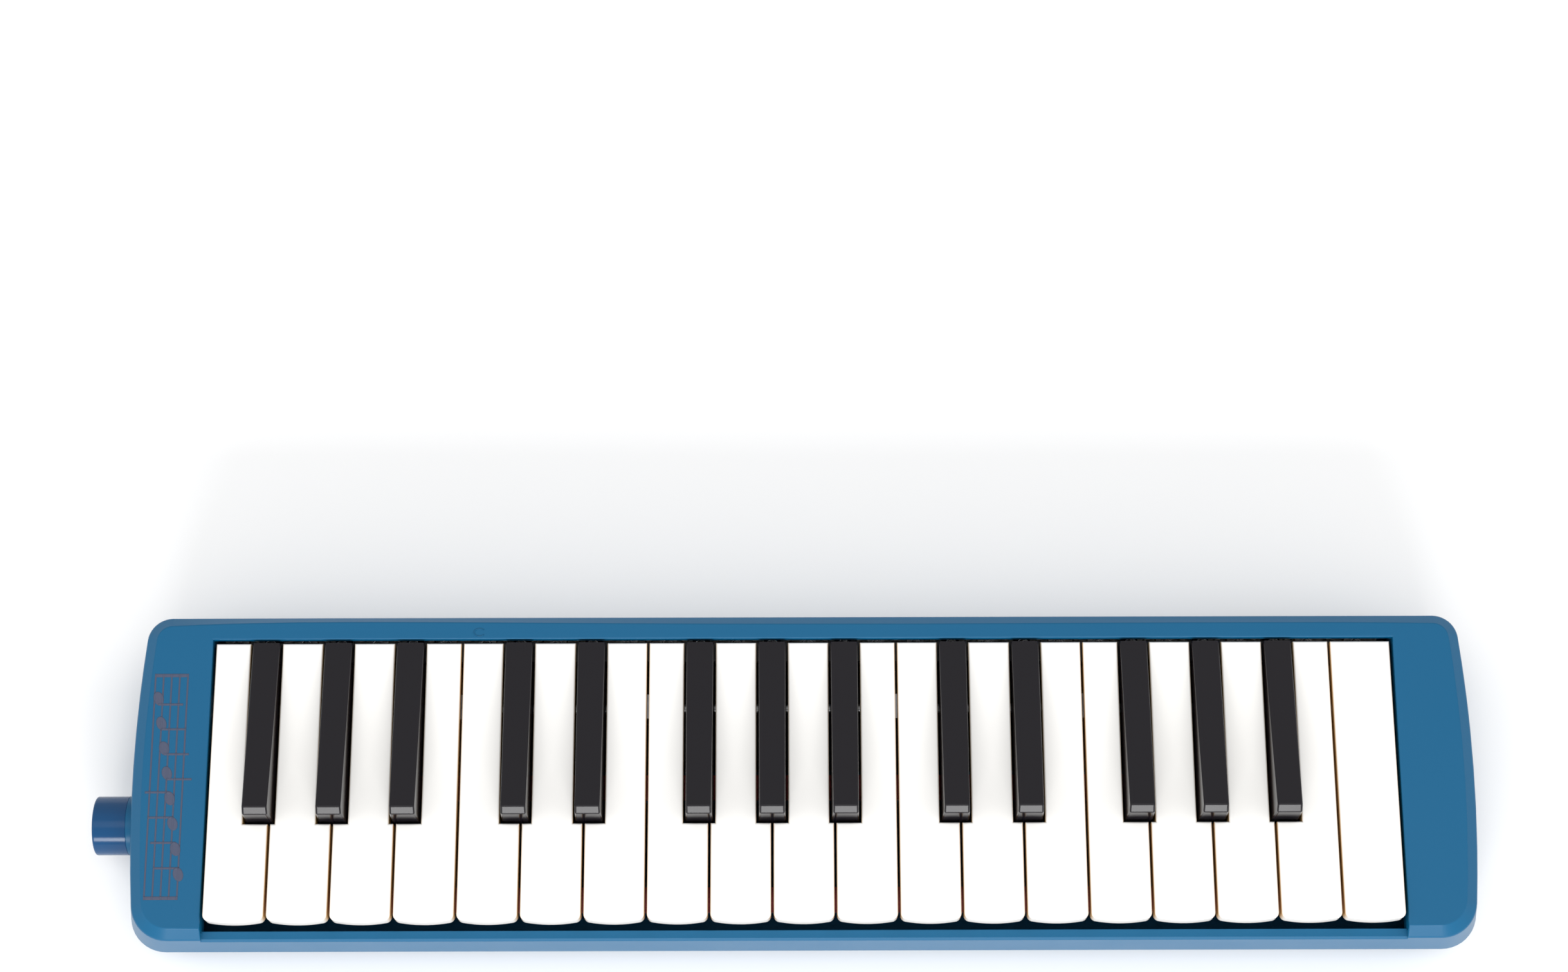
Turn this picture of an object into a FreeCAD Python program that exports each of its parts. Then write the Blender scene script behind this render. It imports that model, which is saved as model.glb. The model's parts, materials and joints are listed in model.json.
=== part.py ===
"""Melodica with 32 keys, F3 to C6: a two-part case, a sprung keyboard on one steel shaft,
a wind chest with reed plates, a mouthpiece socket at the left end and a drain button.

Frame: X runs along the keyboard (the socket is at -X), Y runs from the player to the rear,
Z is up. The origin is the centre of the flat underside. All sizes are in millimetres.
"""
import FreeCAD, Part
import math
import os
import re
import Sketcher

Vector = FreeCAD.Vector
doc = FreeCAD.newDocument("melodica")

# ---------------------------------------------------------------- driving dimensions

SIZES = [
    # case
    ("cheek_width", 28, "from the end keys' outer lines to the ends of the case"),
    ("body_depth", 107, "case depth at the joint line"),
    ("side_bulge", 3, "how far the side walls bow out"),
    ("rear_corner", 8, "plan radius of the rear corners"),
    ("front_corner", 12, "plan radius of the front corners"),
    ("wall", 2.5, "case wall"),
    ("joint_height", 17.5, "height of the joint between the two case halves"),
    ("cheek_height", 36.2, "top of the case at its front edge"),
    ("rim_height", 39.2, "top of the case at its rear edge"),
    ("side_lean", 4.4, "how far the upper side walls lean in"),
    ("face_lean", 1.7, "how far the upper front and rear walls lean in"),
    ("base_side_lean", 3, "how far the lower side walls lean in"),
    ("base_face_lean", 2.4, "how far the lower front and rear walls lean in"),
    ("base_round", 3, "radius along the bottom edge"),
    ("edge_slope", 3.2, "width of the sloped edge round the top"),
    ("edge_round", 0.5, "radius along the inner line of the sloped edge"),
    ("wall_round", 1.2, "radius along the outer line of the sloped edge"),
    ("lip_round", 0.4, "radius along the edge of the key opening"),
    ("rail_slope", 0.7, "sloped edge along the outside of the front rail"),
    ("rail_height", 32, "top of the low rail in front of the keys"),
    ("rail_width", 4.2, "width of the low rail in front of the keys"),
    ("rail_rib", 6, "depth of the rib under the front rail"),
    ("rail_rib_wall", 1.9, "thickness of the rib under the front rail"),
    ("rim_width", 9.2, "width of the case's top behind the keys"),
    ("cheek_gap", 1, "gap between the end keys and the cheeks"),
    ("skirt_bottom", 28, "lower edge of the cheeks' inner walls"),
    ("skirt_wall", 2, "thickness of the cheeks' inner walls"),
    ("boss_radius", 3.5, "screw bosses in the upper case"),
    ("boss_column", 4.3, "screw columns in the lower case"),
    ("boss_inset", 16, "from the end of the case to its screws"),
    ("boss_front_setback", 17.5, "from the front face to the front screws"),
    ("boss_rear_setback", 13.5, "from the rear face to the rear screws"),
    ("case_screw", 1.5, "radius of the case screws"),
    ("case_screw_head", 2.8, "radius of the case screw heads"),
    ("case_screw_seat", 4, "height of the seat under a case screw head"),
    ("case_screw_top", 26, "height of a case screw's tip"),
    ("head_height", 1.8, "height of a case screw head"),
    ("snug", 0.02, "radial gap round a fixed pin or screw"),
    ("head_play", 0.1, "radial gap round a screw head"),
    ("overcut", 1, "how far a cutting shape reaches past what it cuts"),
    ("bite", 0.2, "how far a joined shape reaches into the next one"),
    ("blank_reach", 10, "how far the cut over the case's top reaches past its faces"),
    # keyboard
    ("white_pitch", 20, "white key to white key"),
    ("key_gap", 0.8, "gap between neighbouring white keys"),
    ("key_front_setback", 7, "from the front face to a white key's front corners"),
    ("key_bow", 1, "how far the front edge of a white key bows out"),
    ("key_setback", 10.4, "from the rear face to the rear edge of the keys"),
    ("key_top", 38, "top of the white keys at rest"),
    ("key_depth", 5.5, "height of a white key's front and sides"),
    ("key_plate", 2.4, "thickness of a white key's top"),
    ("key_wall", 1.6, "thickness of a key's sides"),
    ("key_corner", 2, "plan radius of a white key's front corners"),
    ("key_edge", 0.6, "radius round a white key's top"),
    ("slot_width", 10.2, "width of the cut-out for a black key"),
    ("slot_setback", 37.5, "from the front face to the front of the cut-outs"),
    ("three_shift", 3.25, "offset of the outer black keys in a group of three"),
    ("two_shift", 1.7, "offset of the black keys in a group of two"),
    ("black_base", 9.2, "width of a black key at its bottom edge"),
    ("black_crown", 7.9, "width of a black key at its highest point"),
    ("black_bottom", 33, "bottom edge of the black keys"),
    ("black_front_setback", 38.25, "from the front face to a black key's bottom front edge"),
    ("black_brow_setback", 38.8, "from the front face to the brow of a black key"),
    ("black_brow_height", 46.2, "height of a black key's brow"),
    ("black_peak_setback", 41, "from the front face to the highest point of a black key"),
    ("black_peak_height", 48.1, "highest point of a black key"),
    ("black_rear_height", 39, "top of a black key at its rear edge"),
    ("black_edge", 0.7, "radius along a black key's edges"),
    ("black_hollow", 5, "depth of the hollow under a black key"),
    ("black_front_wall", 2, "wall at the front of a black key"),
    # levers
    ("shaft_radius", 1.5, "key shaft"),
    ("shaft_play", 0.05, "radial gap between a key and the shaft"),
    ("shaft_setback", 29.5, "from the rear face to the key shaft"),
    ("shaft_height", 26, "height of the key shaft"),
    ("hub_radius", 3.4, "hub of a key lever"),
    ("lever_width", 5.5, "width of a key lever"),
    ("lever_bite", 1, "how far a lever reaches into its key and its hub"),
    ("web_front_setback", 37.5, "from the rear face to the front of a lever's web"),
    ("web_rear_setback", 17.5, "from the rear face to the rear of a lever's web"),
    ("hollow_setback", 39.5, "from the rear face to the end of the hollow under a key"),
    ("tail_bottom", 22.4, "underside of a lever's tail"),
    ("tail_top", 26, "top of a lever's tail"),
    ("tail_setback", 5.5, "from the rear face to the end of a lever's tail"),
    ("tail_plate", 3, "thickness of a key's rear overhang"),
    ("pad_width", 7, "width of a pallet pad"),
    ("pad_front_setback", 21, "from the rear face to the front of the pallet pads"),
    ("pad_rear_setback", 11, "from the rear face to the rear of the pallet pads"),
    ("pad_gap", 0.05, "gap under a closed pallet pad"),
    ("spring_setback", 9.6, "from the rear face to the key springs"),
    ("spring_radius", 2.25, "outer radius of a key spring"),
    ("spring_bore", 1.8, "inner radius of a key spring"),
    ("peg_radius", 1.2, "pegs inside the key springs"),
    ("tail_peg", 1.8, "height of the peg on a lever's tail"),
    ("bar_peg", 1.2, "length of the pegs on the spring bar"),
    ("bar_peg_shift", 0.5, "how far the bar's pegs stand in front of the springs' middles"),
    ("bar_peg_play", 0.2, "how much thinner the bar's pegs are than the levers' pegs"),
    ("strip_play", 0.3, "gap at the ends of the spring bar and the guide comb"),
    ("bar_front_setback", 15.5, "from the rear face to the front of the spring bar"),
    ("bar_rear_setback", 9.1, "from the rear face to the rear of the spring bar"),
    ("bar_bottom", 31.2, "underside of the spring bar"),
    ("bar_thickness", 2.4, "thickness of the spring bar"),
    ("post_width", 2, "width of the posts under the spring bar"),
    ("bracket_width", 2.6, "thickness of a shaft bracket"),
    ("bracket_depth", 8, "depth of a shaft bracket"),
    ("bracket_top", 29.5, "top of the shaft brackets"),
    ("comb_front_setback", 6.9, "from the rear face to the front of the guide comb"),
    ("comb_rear_setback", 5, "from the rear face to the rear of the guide comb"),
    ("comb_base", 1.6, "height of the guide comb's strip"),
    ("comb_top", 27, "top of the guide comb's teeth"),
    ("tooth_width", 1.6, "width of a comb tooth"),
    ("tooth_step", 0.4, "how far a comb tooth stops short of the strip's rear edge"),
    # stops
    ("felt_thickness", 2, "stop felts"),
    ("stop_width", 8, "width of the stop felts and their ledges"),
    ("stop_web", 3, "web under a stop ledge"),
    ("stop_plate", 2, "thickness of a stop ledge"),
    ("stop_inset", 4, "from the end of the keyboard to the end of the stop ledges"),
    ("front_stop_setback", 14.5, "from the front face to the white keys' stop"),
    ("front_stop_top", 28.8, "top of the white keys' stop felt"),
    ("middle_stop_setback", 50.5, "from the front face to the black keys' stop"),
    ("middle_stop_top", 30.6, "top of the black keys' stop felt"),
    # wind chest
    ("chest_short", 1, "how much shorter the chest is at its right end"),
    ("chest_front_setback", 45.5, "from the rear face to the front of the chest"),
    ("chest_setback", 5, "from the rear face to the rear of the chest"),
    ("chest_bottom", 4, "underside of the chest"),
    ("tray_floor", 1.6, "floor of the chest tray"),
    ("tray_top", 12, "top of the chest tray"),
    ("chest_wall", 5, "wall of the chest"),
    ("gasket_thickness", 0.8, "chest gasket"),
    ("block_top", 20, "top of the cell block"),
    ("cell_roof", 2.5, "wall over the reed cells"),
    ("cell_width", 8, "width of a reed cell"),
    ("cell_front_setback", 38, "from the rear face to the front of the reed cells"),
    ("cell_rear_setback", 12, "from the rear face to the rear of the reed cells"),
    ("port_width", 4, "width of a pallet hole"),
    ("port_front_setback", 19.5, "from the rear face to the front of the pallet holes"),
    ("port_rear_setback", 12.5, "from the rear face to the rear of the pallet holes"),
    ("plate_thickness", 1, "reed plates"),
    ("plate_gap", 0.4, "gap between the two reed plates"),
    ("plate_inset", 1, "gap between a reed plate and the chest wall"),
    ("plate_screw_inset", 2.5, "from a reed plate's edge to its screws"),
    ("reed_width", 2, "width of a reed"),
    ("reed_thickness", 0.3, "thickness of a reed"),
    ("reed_play", 0.06, "gap between a reed and the edge of its slot"),
    ("reed_longest", 20, "free length of the lowest reed"),
    ("reed_step", 0.32, "how much shorter each next reed is"),
    ("reed_setback", 37.5, "from the rear face to the front end of the reeds"),
    ("reed_foot", 3.4, "length of a reed's riveted foot"),
    ("rivet_radius", 0.7, "reed rivets"),
    ("rivet_head", 1, "radius of a rivet head"),
    ("rivet_head_height", 0.3, "height of a rivet head"),
    ("small_screw", 0.9, "radius of the reed plate screws"),
    ("small_head", 1.5, "radius of the reed plate screw heads"),
    ("small_head_height", 0.6, "height of the reed plate screw heads"),
    ("small_screw_length", 5, "length of the reed plate screws"),
    ("chest_screw", 1.1, "radius of the chest screws"),
    ("chest_screw_head", 2.1, "radius of the chest screw heads"),
    ("chest_head_height", 1.4, "height of the chest screw heads"),
    ("chest_screw_length", 12, "length of a chest screw"),
    ("hole_spare", 0.5, "how much deeper a chest screw's hole is than the screw"),
    ("chest_screw_spaces", 5.25, "chest length over the spacing of its screws"),
    ("support_width", 4, "width of the ribs under the chest"),
    # inlet and socket
    ("inlet_depth", 16, "inlet box, from its left side to its right"),
    ("inlet_seal", 1, "thickness of the inlet gasket"),
    ("inlet_seal_width", 1.5, "width of the inlet gasket beside and below the passage"),
    ("inlet_front_setback", 30.5, "from the front face to the front of the inlet box"),
    ("inlet_rear_setback", 23.5, "from the rear face to the rear of the inlet box"),
    ("inlet_top", 26, "top of the inlet box under its lid"),
    ("inlet_wall", 2, "wall of the inlet box"),
    ("inlet_lid", 1.6, "thickness of the inlet lid"),
    ("passage_front_setback", 37.5, "from the rear face to the front of the air passage"),
    ("passage_rear_setback", 26.5, "from the rear face to the rear of the air passage"),
    ("passage_bottom", 6.5, "bottom of the passage into the chest"),
    ("passage_top", 11, "top of the passage into the chest"),
    ("socket_setback", 41.1, "from the front face to the socket's axis"),
    ("socket_radius", 9.5, "outer radius of the mouthpiece socket"),
    ("socket_length", 10.8, "how far the socket stands out of the case"),
    ("spigot_radius", 8, "radius of the socket's inner spigot"),
    ("spigot_reach", 1.5, "how far the spigot reaches into the inlet box"),
    ("socket_bore", 6.5, "radius of the mouthpiece bore"),
    ("socket_round", 0.6, "radius on the socket's outer edge"),
    ("socket_play", 0.1, "gap round the socket's spigot"),
    ("socket_boss_depth", 8, "depth of the case boss behind the socket"),
    ("seal_radius", 9.6, "outer radius of the socket seal"),
    ("seal_width", 2, "width of the socket seal"),
    # drain valve
    ("drain_inset", 39, "from the chest's right end to the drain button"),
    ("drain_height", 8.5, "height of the drain button"),
    ("drain_radius", 3.8, "radius of the drain button"),
    ("drain_play", 0.2, "gap round the drain button"),
    ("drain_reach", 2.1, "how far the drain button stands out of the case"),
    ("drain_cap", 4, "length of the drain button's cap"),
    ("drain_floor", 1.4, "thickness of the drain button's face"),
    ("drain_stem", 1.1, "radius of the drain stem"),
    ("drain_port", 1.9, "radius of the drain hole in the chest"),
    ("drain_seal_radius", 2.6, "radius of the drain seal"),
    ("drain_seal_width", 1.5, "thickness of the drain seal"),
    ("drain_stem_setback", 12, "from the rear face to the inner end of the drain stem"),
    ("drain_spring", 2.4, "outer radius of the drain spring"),
    ("drain_spring_bore", 2, "inner radius of the drain spring"),
]

WHITE_KEYS = 19

# places that follow from them; those in depth are measured from the middle of the case
PLACES = [
    ("keyboard_half", f"{WHITE_KEYS} * white_pitch / 2"),
    ("body_length", "2 * (keyboard_half + cheek_width)"),
    ("blank_top", "rim_height + 2 * overcut"),
    ("chest_left", "keyboard_half"),
    ("chest_right", "keyboard_half - chest_short"),
    ("inlet_right", "chest_left + inlet_seal"),
    ("inlet_left", "inlet_right + inlet_depth"),
    ("spigot_end", "inlet_left - spigot_reach"),
    ("stop_half_length", "keyboard_half - stop_inset"),
    ("drain_x", "chest_right - drain_inset"),
    ("chest_screw_pitch", "(chest_left + chest_right) / chest_screw_spaces"),
    ("rail_inner", "body_depth / 2 - rail_width"),
    ("rim_inner", "body_depth / 2 - rim_width"),
    ("boss_front", "body_depth / 2 - boss_front_setback"),
    ("boss_rear", "body_depth / 2 - boss_rear_setback"),
    ("key_front", "body_depth / 2 - key_front_setback"),
    ("key_rear", "body_depth / 2 - key_setback"),
    ("slot_front", "body_depth / 2 - slot_setback"),
    ("black_front", "body_depth / 2 - black_front_setback"),
    ("black_brow", "body_depth / 2 - black_brow_setback"),
    ("black_peak", "body_depth / 2 - black_peak_setback"),
    ("shaft_rear", "body_depth / 2 - shaft_setback"),
    ("web_front", "body_depth / 2 - web_front_setback"),
    ("web_rear", "body_depth / 2 - web_rear_setback"),
    ("hollow_end", "body_depth / 2 - hollow_setback"),
    ("tail_end", "body_depth / 2 - tail_setback"),
    ("pad_front", "body_depth / 2 - pad_front_setback"),
    ("pad_rear", "body_depth / 2 - pad_rear_setback"),
    ("spring_line", "body_depth / 2 - spring_setback"),
    ("bar_front", "body_depth / 2 - bar_front_setback"),
    ("bar_rear", "body_depth / 2 - bar_rear_setback"),
    ("comb_front", "body_depth / 2 - comb_front_setback"),
    ("comb_rear", "body_depth / 2 - comb_rear_setback"),
    ("front_stop", "body_depth / 2 - front_stop_setback"),
    ("middle_stop", "body_depth / 2 - middle_stop_setback"),
    ("chest_front", "body_depth / 2 - chest_front_setback"),
    ("chest_rear", "body_depth / 2 - chest_setback"),
    ("cell_front", "body_depth / 2 - cell_front_setback"),
    ("cell_rear", "body_depth / 2 - cell_rear_setback"),
    ("port_front", "body_depth / 2 - port_front_setback"),
    ("port_rear", "body_depth / 2 - port_rear_setback"),
    ("reed_root", "body_depth / 2 - reed_setback"),
    ("inlet_front", "body_depth / 2 - inlet_front_setback"),
    ("inlet_rear", "body_depth / 2 - inlet_rear_setback"),
    ("passage_front", "body_depth / 2 - passage_front_setback"),
    ("passage_rear", "body_depth / 2 - passage_rear_setback"),
    ("socket_front", "body_depth / 2 - socket_setback"),
    ("drain_tip", "body_depth / 2 + drain_reach"),
    ("drain_stem_end", "body_depth / 2 - drain_stem_setback"),
]

WHITE_LETTERS = "fgabcde"
NOTES = len(WHITE_LETTERS)
NOTES_BELOW_C = NOTES - WHITE_LETTERS.index("c")
SHARP_OFFSETS = {"f": "-three_shift", "g": "0", "a": "three_shift", "c": "-two_shift", "d": "two_shift"}
FIRST_OCTAVE = 3
CHEST_SCREWS_PER_SIDE = 6
PLATE_SCREW_CELLS = ((2, 8, 13), (18, 24, 29))
SUPPORT_RIBS = (-2, -1, 1, 2)
NEAR = 0.05

sheet = doc.addObject("Spreadsheet::Sheet", "Sizes")
for row, (alias, number, note) in enumerate(SIZES, 1):
    sheet.set(f"A{row}", note)
    sheet.set(f"B{row}", str(number))
    sheet.setAlias(f"B{row}", alias)
doc.recompute()
places = doc.addObject("Spreadsheet::Sheet", "Places")
sheet_of = {alias: "Sizes" for alias, _, _ in SIZES}


def linked(formula):
    """The formula with the sheet's name before each size and place."""
    return re.sub(r"[a-z_]\w*", lambda word: f"{sheet_of[word[0]]}.{word[0]}"
                  if word[0] in sheet_of else word[0], formula)


def value(formula):
    """The formula's number now, for first positions in a sketch and for choosing edges."""
    return float(sheet.evalExpression(linked(formula)))


def derive(alias, formula):
    """Add a place that follows from the sizes and give back its name."""
    row = sum(name == "Places" for name in sheet_of.values()) + 1
    places.set(f"B{row}", "=" + linked(formula).replace("Places.", ""))
    places.setAlias(f"B{row}", alias)
    places.recompute()
    sheet_of[alias] = "Places"
    return alias


for alias, formula in PLACES:
    derive(alias, formula)


def bind(item, **formulas):
    """Bind properties to formulas of the sheet; placement_x is Placement.Base.x, and so on."""
    for name, formula in formulas.items():
        item.setExpression(name.replace("placement_", ".Placement.Base."), linked(formula))


# ---------------------------------------------------------------- primitives and booleans


def box(name, low, high):
    """A box between two corners, each given as three formulas."""
    item = doc.addObject("Part::Box", name)
    bind(item, Length=f"({high[0]}) - ({low[0]})", Width=f"({high[1]}) - ({low[1]})",
         Height=f"({high[2]}) - ({low[2]})", placement_x=low[0], placement_y=low[1],
         placement_z=low[2])
    return item


def cylinder(name, start, radius, length, direction=(0, 0, 1)):
    """A cylinder from a point, given as three formulas, along a direction."""
    item = doc.addObject("Part::Cylinder", name)
    item.Placement.Rotation = FreeCAD.Rotation(Vector(0, 0, 1), Vector(*direction))
    bind(item, Radius=radius, Height=length, placement_x=start[0], placement_y=start[1],
         placement_z=start[2])
    return item


def group(name, items):
    """Several separate solids as one object."""
    item = doc.addObject("Part::Compound", name)
    item.Links = items
    return item


def fuse(name, items):
    item = doc.addObject("Part::MultiFuse", name)
    item.Shapes = items
    return item


def cut(name, base, tools):
    item = doc.addObject("Part::Cut", name)
    item.Base = base
    item.Tool = tools[0] if len(tools) == 1 else group(name + "_tools", tools)
    return item


# ---------------------------------------------------------------- sketches and features


def new_sketch(body, plane, offset="0"):
    """An empty sketch on one of the body's own origin planes, moved along its normal."""
    sketch = body.newObject("Sketcher::SketchObject", body.Name + "_sketch")
    support = next(f for f in body.Origin.OriginFeatures if f.Role == plane)
    sketch.AttachmentSupport = (support, [""])
    sketch.MapMode = "FlatFace"
    sketch.setExpression(".AttachmentOffset.Base.z", linked(offset))
    return sketch


def fix(sketch, kind, place, formula):
    """Add a constraint and bind its size to a formula."""
    number = sketch.addConstraint(Sketcher.Constraint(kind, *place, value(formula)))
    sketch.setExpression(f"Constraints[{number}]", linked(formula))


def add_loop(sketch, corners):
    """A closed outline, anticlockwise. A corner is (x, y), or (x, y, radius) where the edge
    that leaves it is an arc bowing outwards."""
    first = sketch.GeometryCount
    places = [Vector(value(corner[0]), value(corner[1]), 0) for corner in corners]
    for number, corner in enumerate(corners):
        start, end = places[number], places[(number + 1) % len(places)]
        if len(corner) == 3:
            chord = end - start
            radius = value(corner[2])
            rise = radius - math.sqrt(radius ** 2 - chord.Length ** 2 / 4)
            outward = Vector(chord.y, -chord.x, 0).normalize()
            edge = Part.Arc(start, (start + end) / 2 + outward * rise, end)
        else:
            edge = Part.LineSegment(start, end)
        sketch.addGeometry(edge, False)
    for number, corner in enumerate(corners):
        following = first + (number + 1) % len(corners)
        sketch.addConstraint(Sketcher.Constraint("Coincident", first + number, 2, following, 1))
        fix(sketch, "DistanceX", (first + number, 1), corner[0])
        fix(sketch, "DistanceY", (first + number, 1), corner[1])
        if len(corner) == 3:
            fix(sketch, "Radius", (first + number,), corner[2])


def add_circle(sketch, x, y, radius):
    centre = Vector(value(x), value(y), 0)
    number = sketch.addGeometry(Part.Circle(centre, Vector(0, 0, 1), value(radius)), False)
    fix(sketch, "DistanceX", (number, 3), x)
    fix(sketch, "DistanceY", (number, 3), y)
    fix(sketch, "Radius", (number,), radius)


def loops_sketch(body, plane, offset, loops):
    sketch = new_sketch(body, plane, offset)
    for corners in loops:
        add_loop(sketch, corners)
    return sketch


def circle_sketch(body, plane, offset, circles):
    sketch = new_sketch(body, plane, offset)
    for x, y, radius in circles:
        add_circle(sketch, x, y, radius)
    return sketch


def rectangle(left, low, right, high):
    return [(left, low), (right, low), (right, high), (left, high)]


def extrude(body, kind, sketch, length, both_ways=False, reverse=False):
    """A Pad or a Pocket of a sketch. It has to change the solid's volume."""
    before = body.Shape.Volume if body.Tip else 0
    feature = body.newObject("PartDesign::" + kind, body.Name + "_" + kind.lower())
    feature.Profile = sketch
    feature.Midplane = both_ways
    feature.Reversed = reverse
    bind(feature, Length=length)
    doc.recompute()
    if abs(body.Shape.Volume - before) < NEAR:
        raise RuntimeError(f"{feature.Name} changes nothing")
    return feature


def pad(body, sketch, length, **options):
    return extrude(body, "Pad", sketch, length, **options)


def pocket(body, sketch, length, **options):
    return extrude(body, "Pocket", sketch, length, **options)


def dress(body, kind, wanted, **sizes):
    """A Fillet or Chamfer on the edges of the body that a test picks."""
    base = body.Tip
    names = [f"Edge{n}" for n, edge in enumerate(base.Shape.Edges, 1) if wanted(edge)]
    if not names:
        raise RuntimeError(f"{body.Name}: no edge to dress")
    feature = body.newObject("PartDesign::" + kind, body.Name + "_" + kind.lower())
    feature.Base = (base, names)
    bind(feature, **sizes)
    doc.recompute()
    if "Invalid" in feature.State:
        raise RuntimeError(f"{feature.Name} failed")
    return feature


def hollow(body, core):
    """Take a core body out of the body."""
    feature = body.newObject("PartDesign::Boolean", body.Name + "_hollow")
    feature.setObjects([core])
    feature.Type = "Cut"
    doc.recompute()


def is_upright(edge):
    first, last = edge.Vertexes[0].Point, edge.Vertexes[-1].Point
    rise = abs(first.z - last.z)
    return rise > NEAR and math.hypot(first.x - last.x, first.y - last.y) < rise


# ---------------------------------------------------------------- the two case halves

LEFT = "-body_length / 2"
RIGHT = "body_length / 2"
SOCKET = ("-socket_front", "joint_height")
OPENING = "keyboard_half - key_gap / 2 + cheek_gap"
TOP_SLOPE = "(rim_height - cheek_height) / body_depth"
SCREW_PLACES = [
    (f"{LEFT} + boss_inset", "-boss_front"), (f"{LEFT} + boss_inset", "boss_rear"),
    (f"{RIGHT} - boss_inset", "-boss_front"), (f"{RIGHT} - boss_inset", "boss_rear"),
]


def top_at(y):
    """Height of the sloping top surface at a depth."""
    return f"cheek_height + ({y} + body_depth / 2) * {TOP_SLOPE}"


def case_outline(name, side_inset, face_inset, inset):
    """The case in plan: straight front and rear, sides that bow out, tangent corners."""
    half_depth = derive(f"{name}_half_depth", f"body_depth / 2 - {face_inset} - {inset}")
    bow = derive(f"{name}_bow", f"{half_depth} ^ 2 / (2 * side_bulge) + side_bulge / 2")
    centre = derive(f"{name}_bow_centre", f"body_length / 2 - {side_inset} - {inset} - {bow}")
    corners = {}
    for end, sign, corner in (("rear", "", "rear_corner"), ("front", "-", "front_corner")):
        radius = derive(f"{name}_{end}_radius", f"{corner} - {inset}")
        reach = f"sqrt(({bow} - {radius}) ^ 2 - ({half_depth} - {radius}) ^ 2)"
        x = derive(f"{name}_{end}_x", f"{centre} + {reach}")
        side_x = derive(f"{name}_{end}_side_x", f"{centre} + {reach} * {bow} / ({bow} - {radius})")
        side_y = derive(f"{name}_{end}_side_y",
                        f"{sign}({half_depth} - {radius}) * {bow} / ({bow} - {radius})")
        corners[end] = (radius, x, f"{sign}{half_depth}", side_x, side_y)
    radius, x, y, side_x, side_y = corners["front"]
    outline = [(f"-{x}", y), (x, y, radius), (side_x, side_y, bow)]
    front_left = (f"-{side_x}", side_y, radius)
    radius, x, y, side_x, side_y = corners["rear"]
    outline += [(side_x, side_y, radius), (x, y), (f"-{x}", y, radius),
                (f"-{side_x}", side_y, bow), front_left]
    return outline


def case_block(name, inset, levels):
    """A closed block lofted between two plan outlines. The inset is nothing for the outside
    of the case and its wall for the inside."""
    body = doc.addObject("PartDesign::Body", name)
    sketches = []
    for number, (height, side, face) in enumerate(levels, 1):
        outline = case_outline(f"{name}_{number}", side, face, inset)
        sketches.append(loops_sketch(body, "XY_Plane", height, [outline]))
    loft = body.newObject("PartDesign::AdditiveLoft", name + "_loft")
    loft.Profile = sketches[0]
    loft.Sections = sketches[1:]
    loft.Ruled = True
    doc.recompute()
    return body


def socket_boss(body, above):
    """Half of the round boss that holds the socket, with its half bore."""
    inner = f"{LEFT} + socket_boss_depth"
    pad(body, circle_sketch(body, "YZ_Plane", LEFT, [(*SOCKET, "socket_radius")]),
        "socket_boss_depth")
    sweep = "socket_radius * 2"
    other_half = rectangle(f"{LEFT} - overcut", f"{SOCKET[0]} - {sweep}", f"{inner} + overcut",
                           f"{SOCKET[0]} + {sweep}")
    pocket(body, loops_sketch(body, "XY_Plane", "joint_height", [other_half]), sweep,
           reverse=not above)
    bore = [(*SOCKET, "spigot_radius + socket_play")]
    pocket(body, circle_sketch(body, "YZ_Plane", f"{inner} + overcut", bore),
           "socket_boss_depth + 2 * overcut")


def upper_block(name, inset, bottom):
    """The upper case as a closed block with its sloping top, or the hollow inside it."""
    body = case_block(name, inset, [(bottom, "0", "0"),
                                    ("blank_top", "side_lean", "face_lean")])
    far = "(body_depth / 2 + blank_reach)"
    above = [(f"-{far}", top_at(f"-{far}") + f" - {inset}"), (far, top_at(far) + f" - {inset}"),
             (far, "2 * rim_height"), (f"-{far}", "2 * rim_height")]
    pocket(body, loops_sketch(body, "YZ_Plane", "0", [above]), "body_length * 2",
           both_ways=True)
    return body


def drop_below_top(edge):
    """How far an edge's middle is below the sloping top surface."""
    middle = edge.CenterOfMass
    return value(top_at("0")) + middle.y * value(TOP_SLOPE) - middle.z


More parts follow.
